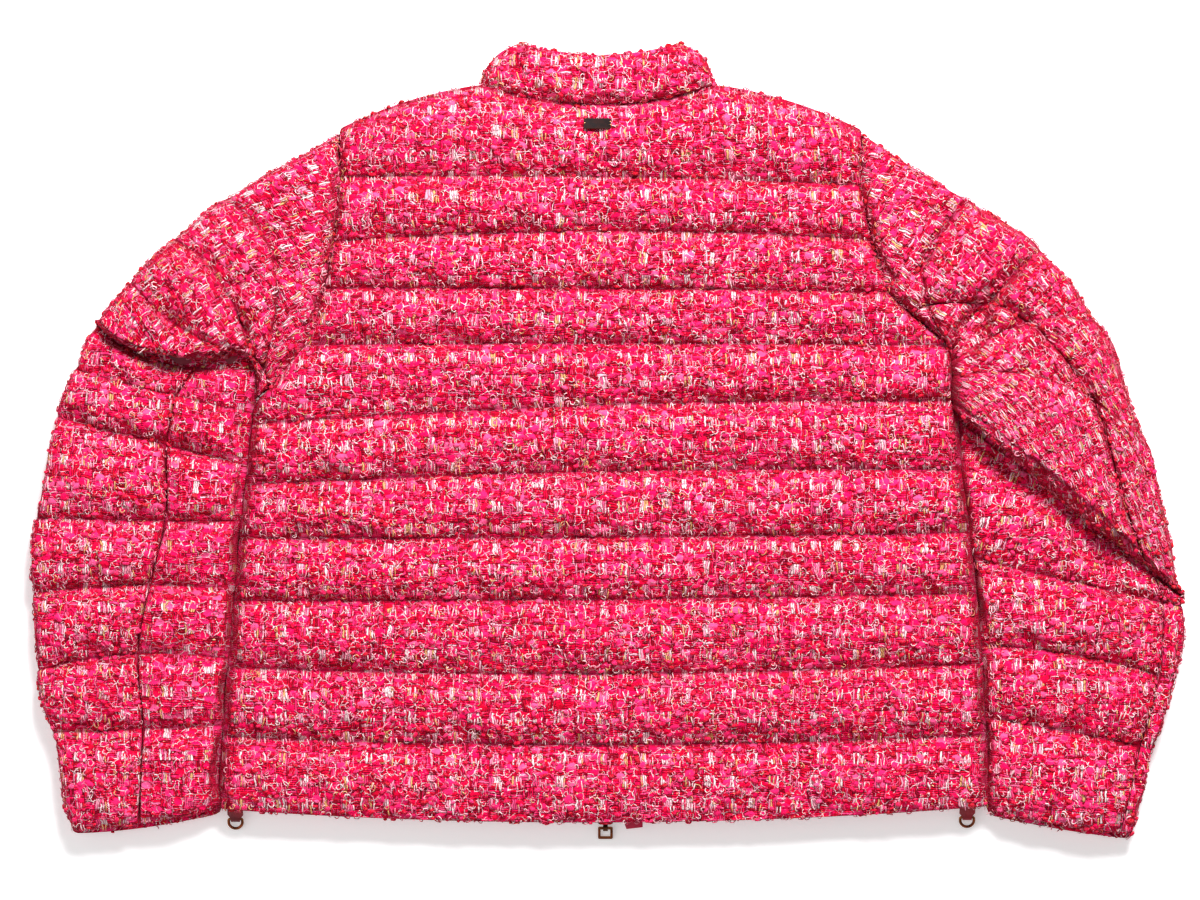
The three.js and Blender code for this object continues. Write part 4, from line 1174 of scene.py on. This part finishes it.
def slubTemplate(dice, around=5):
    # A lumpy closed bead of unit half sizes.
    points, faces, flat = [(-1, 0, 0)], [], []
    for x, size in ((-0.62, 0.8), (0.02, 1.0), (0.6, 0.78)):
        for m in range(around):
            angle = 2 * math.pi * m / around
            swell = size * dice.uniform(0.8, 1.2)
            points.append((x + dice.uniform(-0.1, 0.1), swell * math.cos(angle), swell * math.sin(angle)))
    points.append((1, 0, 0))
    last = len(points) - 1
    for m in range(around):
        n = (m + 1) % around
        u0, u1 = m / around, (m + 0.96) / around
        faces.append((0, 1 + n, 1 + m))
        flat.append((((u0 + u1) / 2, 0), (u1, 0.24), (u0, 0.24)))
        for k in range(2):
            a = 1 + k * around
            faces.append((a + m, a + n, a + around + n, a + around + m))
            v0, v1 = 0.25 * (k + 1), 0.25 * (k + 1) + 0.24
            flat.append(((u0, v0), (u1, v0), (u1, v1), (u0, v1)))
        a = 1 + 2 * around
        faces.append((a + m, a + n, last))
        flat.append(((u0, 0.76), (u1, 0.76), ((u0 + u1) / 2, 1)))
    return np.array(points, float), faces, flat


def loopTemplate(dice):
    sweep, start = dice.uniform(2.6, 4.6), dice.uniform(0, 2 * math.pi)
    path = []
    for k in range(5):
        angle, squash = start + sweep * k / 4, dice.uniform(0.7, 1.1)
        lift = loops["rise"] * (1 - abs(k / 2 - 1) ** 2) - 0.25
        path.append((loops["radius"] * math.cos(angle), loops["radius"] * squash * math.sin(angle), lift))
    return tubeTemplate(path, loops["wire"])


def drawn(palette, count, dice):
    weights = np.array([share for share, _ in palette], float)
    which = dice.choice(len(palette), size=count, p=weights / weights.sum())
    return np.array([srgb(*colour) for _, colour in palette])[which]


# No loose yarns stand where the plate is sewn on.
bedMargin = np.array([0.5, 0.5, 8]) * mm
bed = [np.array(corner) + way * bedMargin for corner, way in zip(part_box("neck_plate"), (-1, 1))]


class Cloth:
    # The finished outer surface of a panel, looked up by its grain.
    def __init__(self, piece):
        mesh = piece.data
        corners = read(mesh.loops, "vertex_index", kind=np.int32)
        points = read(mesh.vertices, "co", 3)[corners].reshape(-1, 4, 3)
        uv = read(mesh.uv_layers["Grain"].data, "uv", 2).reshape(-1, 4, 2)
        kind = read(mesh.polygons, "material_index", kind=np.int32)

        def spans(values):
            a, b, c, d = (values[:, k] for k in range(4))
            return b + c - a - d, c + d - a - b

        (e1, e2), (f1, f2) = spans(points), spans(uv)
        turn = f1[:, 0] * f2[:, 1] - f1[:, 1] * f2[:, 0]
        normal = np.cross(e1, e2)
        area = np.linalg.norm(normal, axis=1)
        seamShade = read(mesh.attributes["Stitched"].data, "value")[corners].reshape(-1, 4).mean(axis=1)
        with np.errstate(all="ignore"):
            alongU = (e1 * f2[:, 1:] - e2 * f1[:, 1:]) / turn[:, None]
            alongV = (e2 * f1[:, :1] - e1 * f2[:, :1]) / turn[:, None]
        self.area = float((area / 4)[kind == 0].sum())
        middle = points.mean(axis=1)
        bare = ((middle > bed[0]) & (middle < bed[1])).all(axis=1)
        good = (kind == 0) & (area > 1e-8) & (seamShade < 0.4) & ~bare
        for way in (alongU, alongV):
            length = np.linalg.norm(way, axis=1)
            good &= np.isfinite(length) & (length > 0.3) & (length < 3)
        self.alongU, self.alongV = alongU[good], alongV[good]
        self.normal = normal[good] / area[good, None]
        self.corners, self.share = points[good], area[good] / area[good].sum()
        self.points, self.uv = points[good].mean(axis=1), uv[good].mean(axis=1)
        self.tree = KDTree(len(self.uv))
        for k, (u, v) in enumerate(self.uv):
            self.tree.insert((u, v, 0), k)
        self.tree.balance()

    def axes(self, found):
        up, along = self.normal[found], self.alongV[found]
        along = along - up * (along * up).sum(axis=1, keepdims=True)
        along /= np.maximum(np.linalg.norm(along, axis=1, keepdims=True), 1e-9)
        return np.cross(along, up), along, up

    def woven(self, places):
        # The surface at each place of the weave, the uppermost where it lies folded.
        found, kept = [], []
        for k, (u, v) in enumerate(places):
            near = [index for _, index, away in self.tree.find_n((u, v, 0), 3) if away < 3 * mm]
            if near:
                found.append(max(near, key=lambda index: self.normal[index][2]))
                kept.append(k)
        found, kept = np.array(found), np.array(kept)
        step = np.clip(places[kept] - self.uv[found], -3 * mm, 3 * mm)
        origin = self.points[found] + step[:, :1] * self.alongU[found] + step[:, 1:] * self.alongV[found]
        return (origin, *self.axes(found)), kept

    def anywhere(self, count, dice):
        found = dice.choice(len(self.share), count, p=self.share)
        u, v = dice.random((2, count, 1))
        a, b, c, d = (self.corners[found, k] for k in range(4))
        return (mix(mix(a, b, u), mix(d, c, u), v), *self.axes(found))


def scatter(pieces, frames, template, sizes, turns, lifts, colours):
    # Copies of a template: sizes scale its points, and a fourth to sixth column of it is a round section.
    origin, across, along, up = frames
    points, faces, flat = template
    cos, sin = np.cos(turns)[:, None], np.sin(turns)[:, None]
    a, b = across * cos + along * sin, along * cos - across * sin
    local = points[None, :, :3] * sizes[:, None, :]
    if points.shape[1] > 3:
        local = local + points[None, :, 3:] * sizes[:, None, :1]
    world = origin[:, None] + mm * (local[..., :1] * a[:, None] + local[..., 1:2] * b[:, None]
                                    + (local[..., 2:] + lifts[:, None, None]) * up[:, None])
    # Painted shade darkens the yarns on cloth that leans over into a seam.
    colours = colours * (1 - leaning(up)[:, None] * (1 - redShade))
    # What would stick out below the surface underneath is pressed into the cloth.
    world[..., 2] += np.maximum(0.05 * mm - world[..., 2].min(axis=1), 0)[:, None]
    pieces.append((world, faces, flat, colours))


def joinedYarns(name, pieces):
    total = sum(len(world) for world, *_ in pieces)
    side = math.ceil(math.sqrt(total))
    allPoints, allFaces, allFlat, allColours = [], [], [], []
    base, number = 0, 0
    for world, faces, flat, colours in pieces:
        count, size = world.shape[:2]
        starts = base + np.arange(count) * size
        cells = number + np.arange(count)
        corner = np.stack([cells % side, cells // side], axis=1) / side
        allPoints.append(world.reshape(-1, 3))
        allColours.append(np.repeat(colours, size, axis=0))
        for sides in {len(face) for face in faces}:
            which = [k for k, face in enumerate(faces) if len(face) == sides]
            index = np.array([faces[k] for k in which])
            spots = np.array([flat[k] for k in which])
            allFaces.append((starts[:, None, None] + index[None]).reshape(-1, sides))
            allFlat.append((corner[:, None, None] + (0.05 + 0.88 * spots[None]) / side).reshape(-1, 2))
        base += count * size
        number += count
    mesh = bpy.data.meshes.new(name)
    points = np.concatenate(allPoints)
    corners = np.concatenate([f.ravel() for f in allFaces])
    totals = np.concatenate([np.full(len(f), f.shape[1]) for f in allFaces])
    mesh.vertices.add(len(points))
    write(mesh.vertices, "co", points)
    mesh.loops.add(len(corners))
    mesh.loops.foreach_set("vertex_index", corners.astype(np.int32))
    mesh.polygons.add(len(totals))
    mesh.polygons.foreach_set("loop_start", (np.cumsum(totals) - totals).astype(np.int32))
    mesh.update(calc_edges=True)
    mesh.validate()
    write(mesh.uv_layers.new(name="OFBake").data, "uv", np.concatenate(allFlat))
    colours = np.concatenate([np.concatenate(allColours), np.ones((len(points), 1))], axis=1)
    write(mesh.color_attributes.new("Colour", "FLOAT_COLOR", "POINT").data, "color", colours)
    piece = linked(name, mesh)
    onlySelect(piece)
    bpy.ops.object.shade_smooth()
    piece.select_set(False)
    piece.data.materials.append(materials["yarn"])
    return piece


def threadTemplate():
    path = [(0, -0.5, -0.5), (0, -0.25, 1), (0, 0.25, 1), (0, 0.5, -0.5)]
    points, faces, flat = tubeTemplate(path, 1.0)
    rings = np.repeat(np.array(path), 3, axis=0)
    section = points - rings
    section[:, 1] = 0
    return np.concatenate([rings, section], axis=1), faces, flat


def yarnsOn(piece, seed):
    surface = Cloth(piece)
    dice = np.random.default_rng(seed)
    low, high = surface.uv.min(axis=0), surface.uv.max(axis=0)
    density = frontYarns if piece.name.startswith("front") else 1
    pieces, curly = [], []
    # Upright threads stand in every second block of every second column.
    step = 2 * mm * np.array([weave["across"], weave["along"]])
    lines = [np.arange(math.floor(low[k] / step[k]), math.ceil(high[k] / step[k])) * step[k] + step[k] / 4
             for k in range(2)]
    for k in (-1, 0, 1):
        grid = np.stack(np.meshgrid(*lines), axis=-1).reshape(-1, 2)
        grid = grid[dice.random(len(grid)) < threads["kept"]]
        stray = np.stack([k * threads["pitch"] + dice.normal(0, threads["strayAcross"], len(grid)),
                          dice.normal(0, threads["strayAlong"], len(grid))], axis=1)
        frames, kept = surface.woven(grid + stray * mm)
        count = len(kept)
        sizes = np.stack([threads["radius"] * dice.uniform(0.8, 1.25, count),
                          threads["length"] * dice.uniform(0.55, 1.1, count),
                          np.full(count, threads["rise"])], axis=1)
        scatter(pieces, frames, threadTemplate(), sizes, dice.normal(0, threads["lean"], count),
                np.zeros(count), drawn(ladder[:4], count, dice))
    count = int(surface.area * slubs["perSquareMetre"] * density / slubs["kinds"])
    for _ in range(slubs["kinds"]):
        sizes = np.array([slubs[k] for k in ("length", "width", "height")])
        sizes = sizes * dice.uniform(0.6, 1.25, (count, 1)) * dice.uniform(0.8, 1.2, (count, 3))
        scatter(pieces, surface.anywhere(count, dice), slubTemplate(dice), sizes,
                dice.normal(0, slubs["lean"], count), np.full(count, slubs["rise"]), drawn(nubs, count, dice))
    count = int(surface.area * loops["perSquareMetre"] * density / loops["kinds"])
    for _ in range(loops["kinds"]):
        sizes = np.array([0.85, 1.25, 1]) * dice.uniform(0.6, 1.25, (count, 1))
        scatter(curly, surface.anywhere(count, dice), loopTemplate(dice), sizes,
                dice.normal(0, loops["lean"], count), np.full(count, loops["lift"]),
                drawn(curls, count, dice))
    return joinedYarns(f"{piece.name}_yarns", pieces), joinedYarns(f"{piece.name}_curls", curly)


# Each panel gets its tweed and lining and its loose yarns, and joins the jacket; the yarns' triangle counts
# are shown.
for number, (name, piece) in enumerate(panels.items()):
    piece.data.materials.append(materials["tweed"])
    piece.data.materials.append(materials["lining"])
    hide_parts(name)
    yarns = yarnsOn(piece, 400 + number)
    for part in (piece, *yarns):
        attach(part, "jacket")
    print("yarns", name, [sum(len(face.vertices) - 2 for face in part.data.polygons) for part in yarns])
print("panels and yarns done")


def pick(piece, kind, test):
    # Leaves selected, in edit mode, only the edges or faces that pass the test on centre and direction.
    bpy.ops.object.mode_set(mode="EDIT")
    bpy.context.tool_settings.mesh_select_mode = (False, kind == "EDGE", kind == "FACE")
    bpy.ops.mesh.select_all(action="DESELECT")
    bpy.ops.object.mode_set(mode="OBJECT")
    mesh = piece.data
    for part in (mesh.edges if kind == "EDGE" else mesh.polygons):
        points = [mesh.vertices[k].co for k in part.vertices]
        centre = sum(points[1:], points[0].copy()) / len(points)
        part.select = bool(test(centre / mm, part.normal if kind == "FACE" else points[1] - points[0]))
    bpy.ops.object.mode_set(mode="EDIT")


def startCube(name, size, centre=(0, 0, 0)):
    bpy.ops.object.select_all(action="DESELECT")
    bpy.ops.mesh.primitive_cube_add(size=1, location=[c * mm for c in centre])
    bpy.ops.transform.resize(value=[s * mm for s in size])
    bpy.ops.object.transform_apply(location=True, scale=True)
    return named(name)


def applied(piece, kind, **settings):
    modifier = piece.modifiers.new(kind.title(), kind)
    for name, value in settings.items():
        setattr(modifier, name, value)
    bpy.ops.object.mode_set(mode="OBJECT")
    bpy.ops.object.modifier_apply(modifier=modifier.name)


def seated(piece, where, tilt, body, finish, *replaced):
    bpy.ops.object.mode_set(mode="OBJECT")
    piece.location = [w * mm for w in where]
    piece.rotation_euler = (tilt, 0, 0)
    bpy.ops.object.transform_apply(location=True, rotation=True, scale=True)
    bpy.ops.object.shade_smooth_by_angle(angle=math.radians(35))
    piece.select_set(False)
    piece.data.materials.append(materials[finish])
    if replaced:
        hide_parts(*replaced)
    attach(piece, body)
    return piece


def boxOf(node):
    low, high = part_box(node)
    return np.array(low) / mm, np.array(high) / mm


plate = {"length": 20.3, "width": 7.8, "thick": 1.2, "corner": 1.1, "rim": 0.55, "sunk": 0.2, "stitch": 0.45,
         "reach": 0.5}
upright = lambda thick: lambda at, way: abs(way.z) > 0.5 * thick * mm


def neckPlate():
    low, high = boxOf("neck_plate")
    # It lies on the swollen cloth, at the cloth's own slope.
    points = np.array([v.co for v in panels["back"].data.vertices]) / mm
    under = points[((points > (*low[:2], cloth["meeting"] + 6)) & (points < (*high[:2], 90))).all(axis=1)]
    slope, base = np.polyfit(under[:, 1], under[:, 2], 1)
    tilt = math.atan(slope)
    centre = (low + high) / 2
    highest = (under[:, 2] - slope * under[:, 1] - base).max()
    centre[2] = slope * centre[1] + base + highest + plate["thick"] / 2
    piece = startCube("neck_plate_worn", (plate["length"], plate["width"] / math.cos(tilt), plate["thick"]))
    pick(piece, "EDGE", upright(plate["thick"]))
    bpy.ops.mesh.bevel(offset=plate["corner"] * mm, segments=2, profile=0.5)
    pick(piece, "FACE", lambda at, way: way.z > 0.9)
    bpy.ops.mesh.inset(thickness=plate["rim"] * mm)
    bpy.ops.transform.translate(value=(0, 0, -plate["sunk"] * mm))
    applied(piece, "BEVEL", width=0.16 * mm, segments=2, limit_method="ANGLE")
    seated(piece, centre, tilt, "jacket", "plate", "neck_plate")
    # Its holding stitches show as one bead of gold thread at the left end and two at the right.
    for number, (side, y) in enumerate(((-1, 0.2), (1, 1.3), (1, -1.1))):
        bpy.ops.object.select_all(action="DESELECT")
        bpy.ops.mesh.primitive_uv_sphere_add(segments=16, ring_count=10, radius=plate["stitch"] * mm)
        bead = named(f"plate_stitch_{number + 1}")
        bpy.ops.transform.resize(value=(1.5, 0.9, 1))
        bpy.ops.object.transform_apply(scale=True)
        x, rise = side * (plate["length"] / 2 - plate["reach"]), 0.5 * plate["thick"]
        spot = centre + (x, y * math.cos(tilt) - rise * math.sin(tilt),
                         y * math.sin(tilt) + rise * math.cos(tilt))
        seated(bead, spot, 0, "jacket", "gold")


pull = {"width": 11.2, "length": 9.4, "thick": 1.5, "frame": 2.0, "bar": 1.0, "tilt": 0.19, "edge": 0.32,
        "corner": 1.1, "fromSlider": 2.4, "height": 2.7}


def zipPull():
    low, high = boxOf("zip_pull")
    where = (low[0] + high[0]) / 2, boxOf("zip_slider")[0][1] + pull["fromSlider"], pull["height"]
    piece = startCube("zip_pull_frame", (pull["width"], pull["length"], pull["thick"]),
                      (0, pull["bar"] - pull["length"] / 2, 0))
    pick(piece, "EDGE", upright(pull["thick"]))
    bpy.ops.mesh.bevel(offset=pull["corner"] * mm, segments=3)
    pick(piece, "FACE", lambda at, way: abs(way.z) > 0.9)
    bpy.ops.mesh.inset(thickness=pull["frame"] * mm)
    bpy.ops.mesh.bridge_edge_loops()
    applied(piece, "BEVEL", width=pull["edge"] * mm, segments=3, limit_method="ANGLE")
    return seated(piece, where, pull["tilt"], "pull", "bronze", "zip_pull")


ring = {"half": 5.15, "wire": 1.1, "straight": 2.4, "corner": 1.2, "tilt": 0.3}


def hangingPoint(low, high):
    return (low[0] + high[0]) / 2, high[1] - ring["wire"], high[2] - ring["wire"]


def hemRing(side):
    low, high = boxOf(f"hem_ring_{side}")
    half, corner, straight = (ring[k] * mm for k in ("half", "corner", "straight"))
    bpy.ops.object.select_all(action="DESELECT")
    bpy.ops.mesh.primitive_circle_add(vertices=14, radius=ring["wire"] * mm, location=(half, -straight, 0),
                                      rotation=(math.pi / 2, 0, 0))
    piece = named(f"hem_ring_{side}_wire")
    bpy.ops.object.transform_apply(location=True, rotation=True)
    bpy.ops.object.mode_set(mode="EDIT")
    bpy.ops.mesh.select_all(action="SELECT")

    def turned(steps, angle, x, y):
        bpy.ops.mesh.spin(steps=steps, angle=angle, center=(x, y, 0), axis=(0, 0, 1))

    def drawnOut(x, y):
        bpy.ops.mesh.extrude_region_move(TRANSFORM_OT_translate={"value": (x, y, 0)})

    turned(24, math.pi, 0, -straight)
    drawnOut(0, straight - corner)
    turned(4, math.pi / 2, corner - half, -corner)
    drawnOut(2 * (half - corner), 0)
    turned(4, math.pi / 2, half - corner, -corner)
    drawnOut(0, corner - straight)
    bpy.ops.mesh.select_all(action="SELECT")
    bpy.ops.mesh.remove_doubles(threshold=0.05 * mm)
    bpy.ops.mesh.normals_make_consistent(inside=False)
    return seated(piece, hangingPoint(low, high), ring["tilt"], f"{side}_ring", "bronze", f"hem_ring_{side}")


tab = {"tipHalf": 3.5, "rootHalf": 5.9, "thick": 1.0, "air": 0.15, "reach": 9.5, "upper": 4.6, "lower": 7.4}


def hemTab(side):
    where = hangingPoint(*boxOf(f"hem_ring_{side}"))
    lift = ring["wire"] + tab["air"] + tab["thick"] / 2
    piece = startCube(f"hem_tab_{side}_strap", (2 * tab["tipHalf"], 0.4, tab["thick"]), (0, 0.2, lift))
    pick(piece, "FACE", lambda at, way: way.y < -0.9)
    bpy.ops.mesh.spin(steps=10, angle=-math.pi, center=(0, 0, 0), axis=(1, 0, 0))
    # The under layer, then the upper one, both up to the hem.
    widen = tab["rootHalf"] / tab["tipHalf"]
    for rise, above in ((tab["lower"], -1), (tab["upper"], 1)):
        pick(piece, "FACE", lambda at, way: way.y > 0.9 and at.z * above > 0 and abs(at.y) < 1)
        for part, stretch in ((0.3, widen), (0.7, 1)):
            bpy.ops.mesh.extrude_region_move(
                TRANSFORM_OT_translate={"value": (0, part * tab["reach"] * mm, part * rise * mm)})
            bpy.ops.transform.resize(value=(stretch, 1, 1))
    bpy.ops.mesh.select_all(action="SELECT")
    bpy.ops.mesh.remove_doubles(threshold=0.01 * mm)
    applied(piece, "BEVEL", width=0.25 * mm, segments=2, limit_method="ANGLE")
    return seated(piece, where, 0, "jacket", "tab", f"hem_tab_{side}")


tooth = {"pitch": 2.5, "wide": 1.15, "deep": 2.3, "root": 2.4, "head": 1.0}


def zipTeeth():
    low, high = boxOf("zip_chain")
    middle, height = (low[0] + high[0]) / 2, (low[2] + high[2]) / 2
    for side, name in ((-1, "left"), (1, "right")):
        piece = startCube(f"zip_teeth_{name}", (tooth["root"], tooth["wide"], tooth["deep"]),
                          (side * (high[0] - low[0] - tooth["root"]) / 2, 0, 0))
        pick(piece, "FACE", lambda at, way: way.x * side < -0.9)
        bpy.ops.mesh.extrude_region_move(TRANSFORM_OT_translate={"value": (-side * tooth["head"] * mm, 0, 0)})
        bpy.ops.transform.resize(value=(1, 0.75, 0.6))
        applied(piece, "BEVEL", width=0.14 * mm, segments=1, limit_method="ANGLE")
        count = int((high[1] - low[1]) / tooth["pitch"]) - 1
        applied(piece, "ARRAY", count=count, use_relative_offset=False, use_constant_offset=True,
                constant_offset_displace=(0, tooth["pitch"] * mm, 0))
        start = low[1] + tooth["pitch"] * (0.5 if side < 0 else 1)
        replaced = ["zip_chain"] if side < 0 else []
        seated(piece, (middle, start, height), 0, "jacket", "dark_bronze", *replaced)


facing = {"slant": 2.7, "rise": 1.4, "wave": 0.3}


def facingCorner():
    low, high = boxOf("hem_facing")
    size = high - low
    piece = startCube("hem_facing_corner", size)
    for side, move in ((-1, (facing["slant"] * mm, 0, 0)), (1, (0, facing["rise"] * mm, 0))):
        pick(piece, "EDGE", lambda at, way: at.x * side > 0 and at.y < 0 and upright(size[2])(at, way))
        bpy.ops.transform.translate(value=move)
    bpy.ops.mesh.select_all(action="SELECT")
    bpy.ops.mesh.subdivide(number_cuts=5)
    bpy.ops.object.mode_set(mode="OBJECT")
    for point in piece.data.vertices:
        wave = facing["wave"] * mm * math.sin(point.co.x / mm * 0.5)
        point.co.z += wave * (0.5 - point.co.y / size[1] / mm)
    applied(piece, "BEVEL", width=0.3 * mm, segments=2, limit_method="ANGLE")
    return seated(piece, (low + high) / 2, 0, "jacket", "crimson", "hem_facing")


neckPlate()
zipPull()
for side in ("left", "right"):
    hemRing(side)
    hemTab(side)
zipTeeth()
facingCorner()
print("fittings done")

view = {"x": -0.0057, "y": -0.0063, "height": 4.02, "lens": 160}
camera = linked("camera", bpy.data.cameras.new("camera"))
camera.location = (view["x"], view["y"], view["height"])
camera.data.lens = view["lens"]
camera.data.sensor_width = 36
camera.data.clip_end = 20
bpy.context.scene.camera = camera


def floorMaterial():
    material, paint, shader = newMaterial("paper")
    colour = paint.noise(paint.ownSpace(), 0.3, 2.0).tint(tints["paper"], tints["paperLight"])
    setShader(shader, Base_Color=colour, Roughness=0.9, Emission_Color=tints["white"], Emission_Strength=0.3)
    return material


bpy.ops.mesh.primitive_plane_add(size=12, location=(0, 0, -0.0005))
floor = bpy.context.active_object
floor.name = "floor"
floor.data.materials.append(floorMaterial())


lamps = {
    "key": {"place": (0.5, 1.9, 1.9), "size": 1.0, "energy": 152},
    "fill": {"place": (-1.7, -0.5, 1.9), "size": 2.2, "energy": 14},
}
skyStrength = 0.37
for name, lamp in lamps.items():
    light = linked(name, bpy.data.lights.new(name, "AREA"))
    light.location = lamp["place"]
    light.rotation_euler = (-Vector(lamp["place"])).to_track_quat("-Z", "Y").to_euler()
    light.data.size, light.data.energy = lamp["size"], lamp["energy"]
world = bpy.data.worlds.new("studio")
world.use_nodes = True
sky = world.node_tree.nodes["Background"].inputs
sky["Color"].default_value, sky["Strength"].default_value = (1, 1, 1, 1), skyStrength
bpy.context.scene.world = world
bpy.context.scene.view_settings.view_transform = "Standard"

for node, finish in (("zip_tape_left", "tape"), ("zip_tape_right", "tape"), ("zip_slider", "dark_bronze")):
    part = bpy.data.objects[node]
    part.data.materials.clear()
    part.data.materials.append(materials[finish])
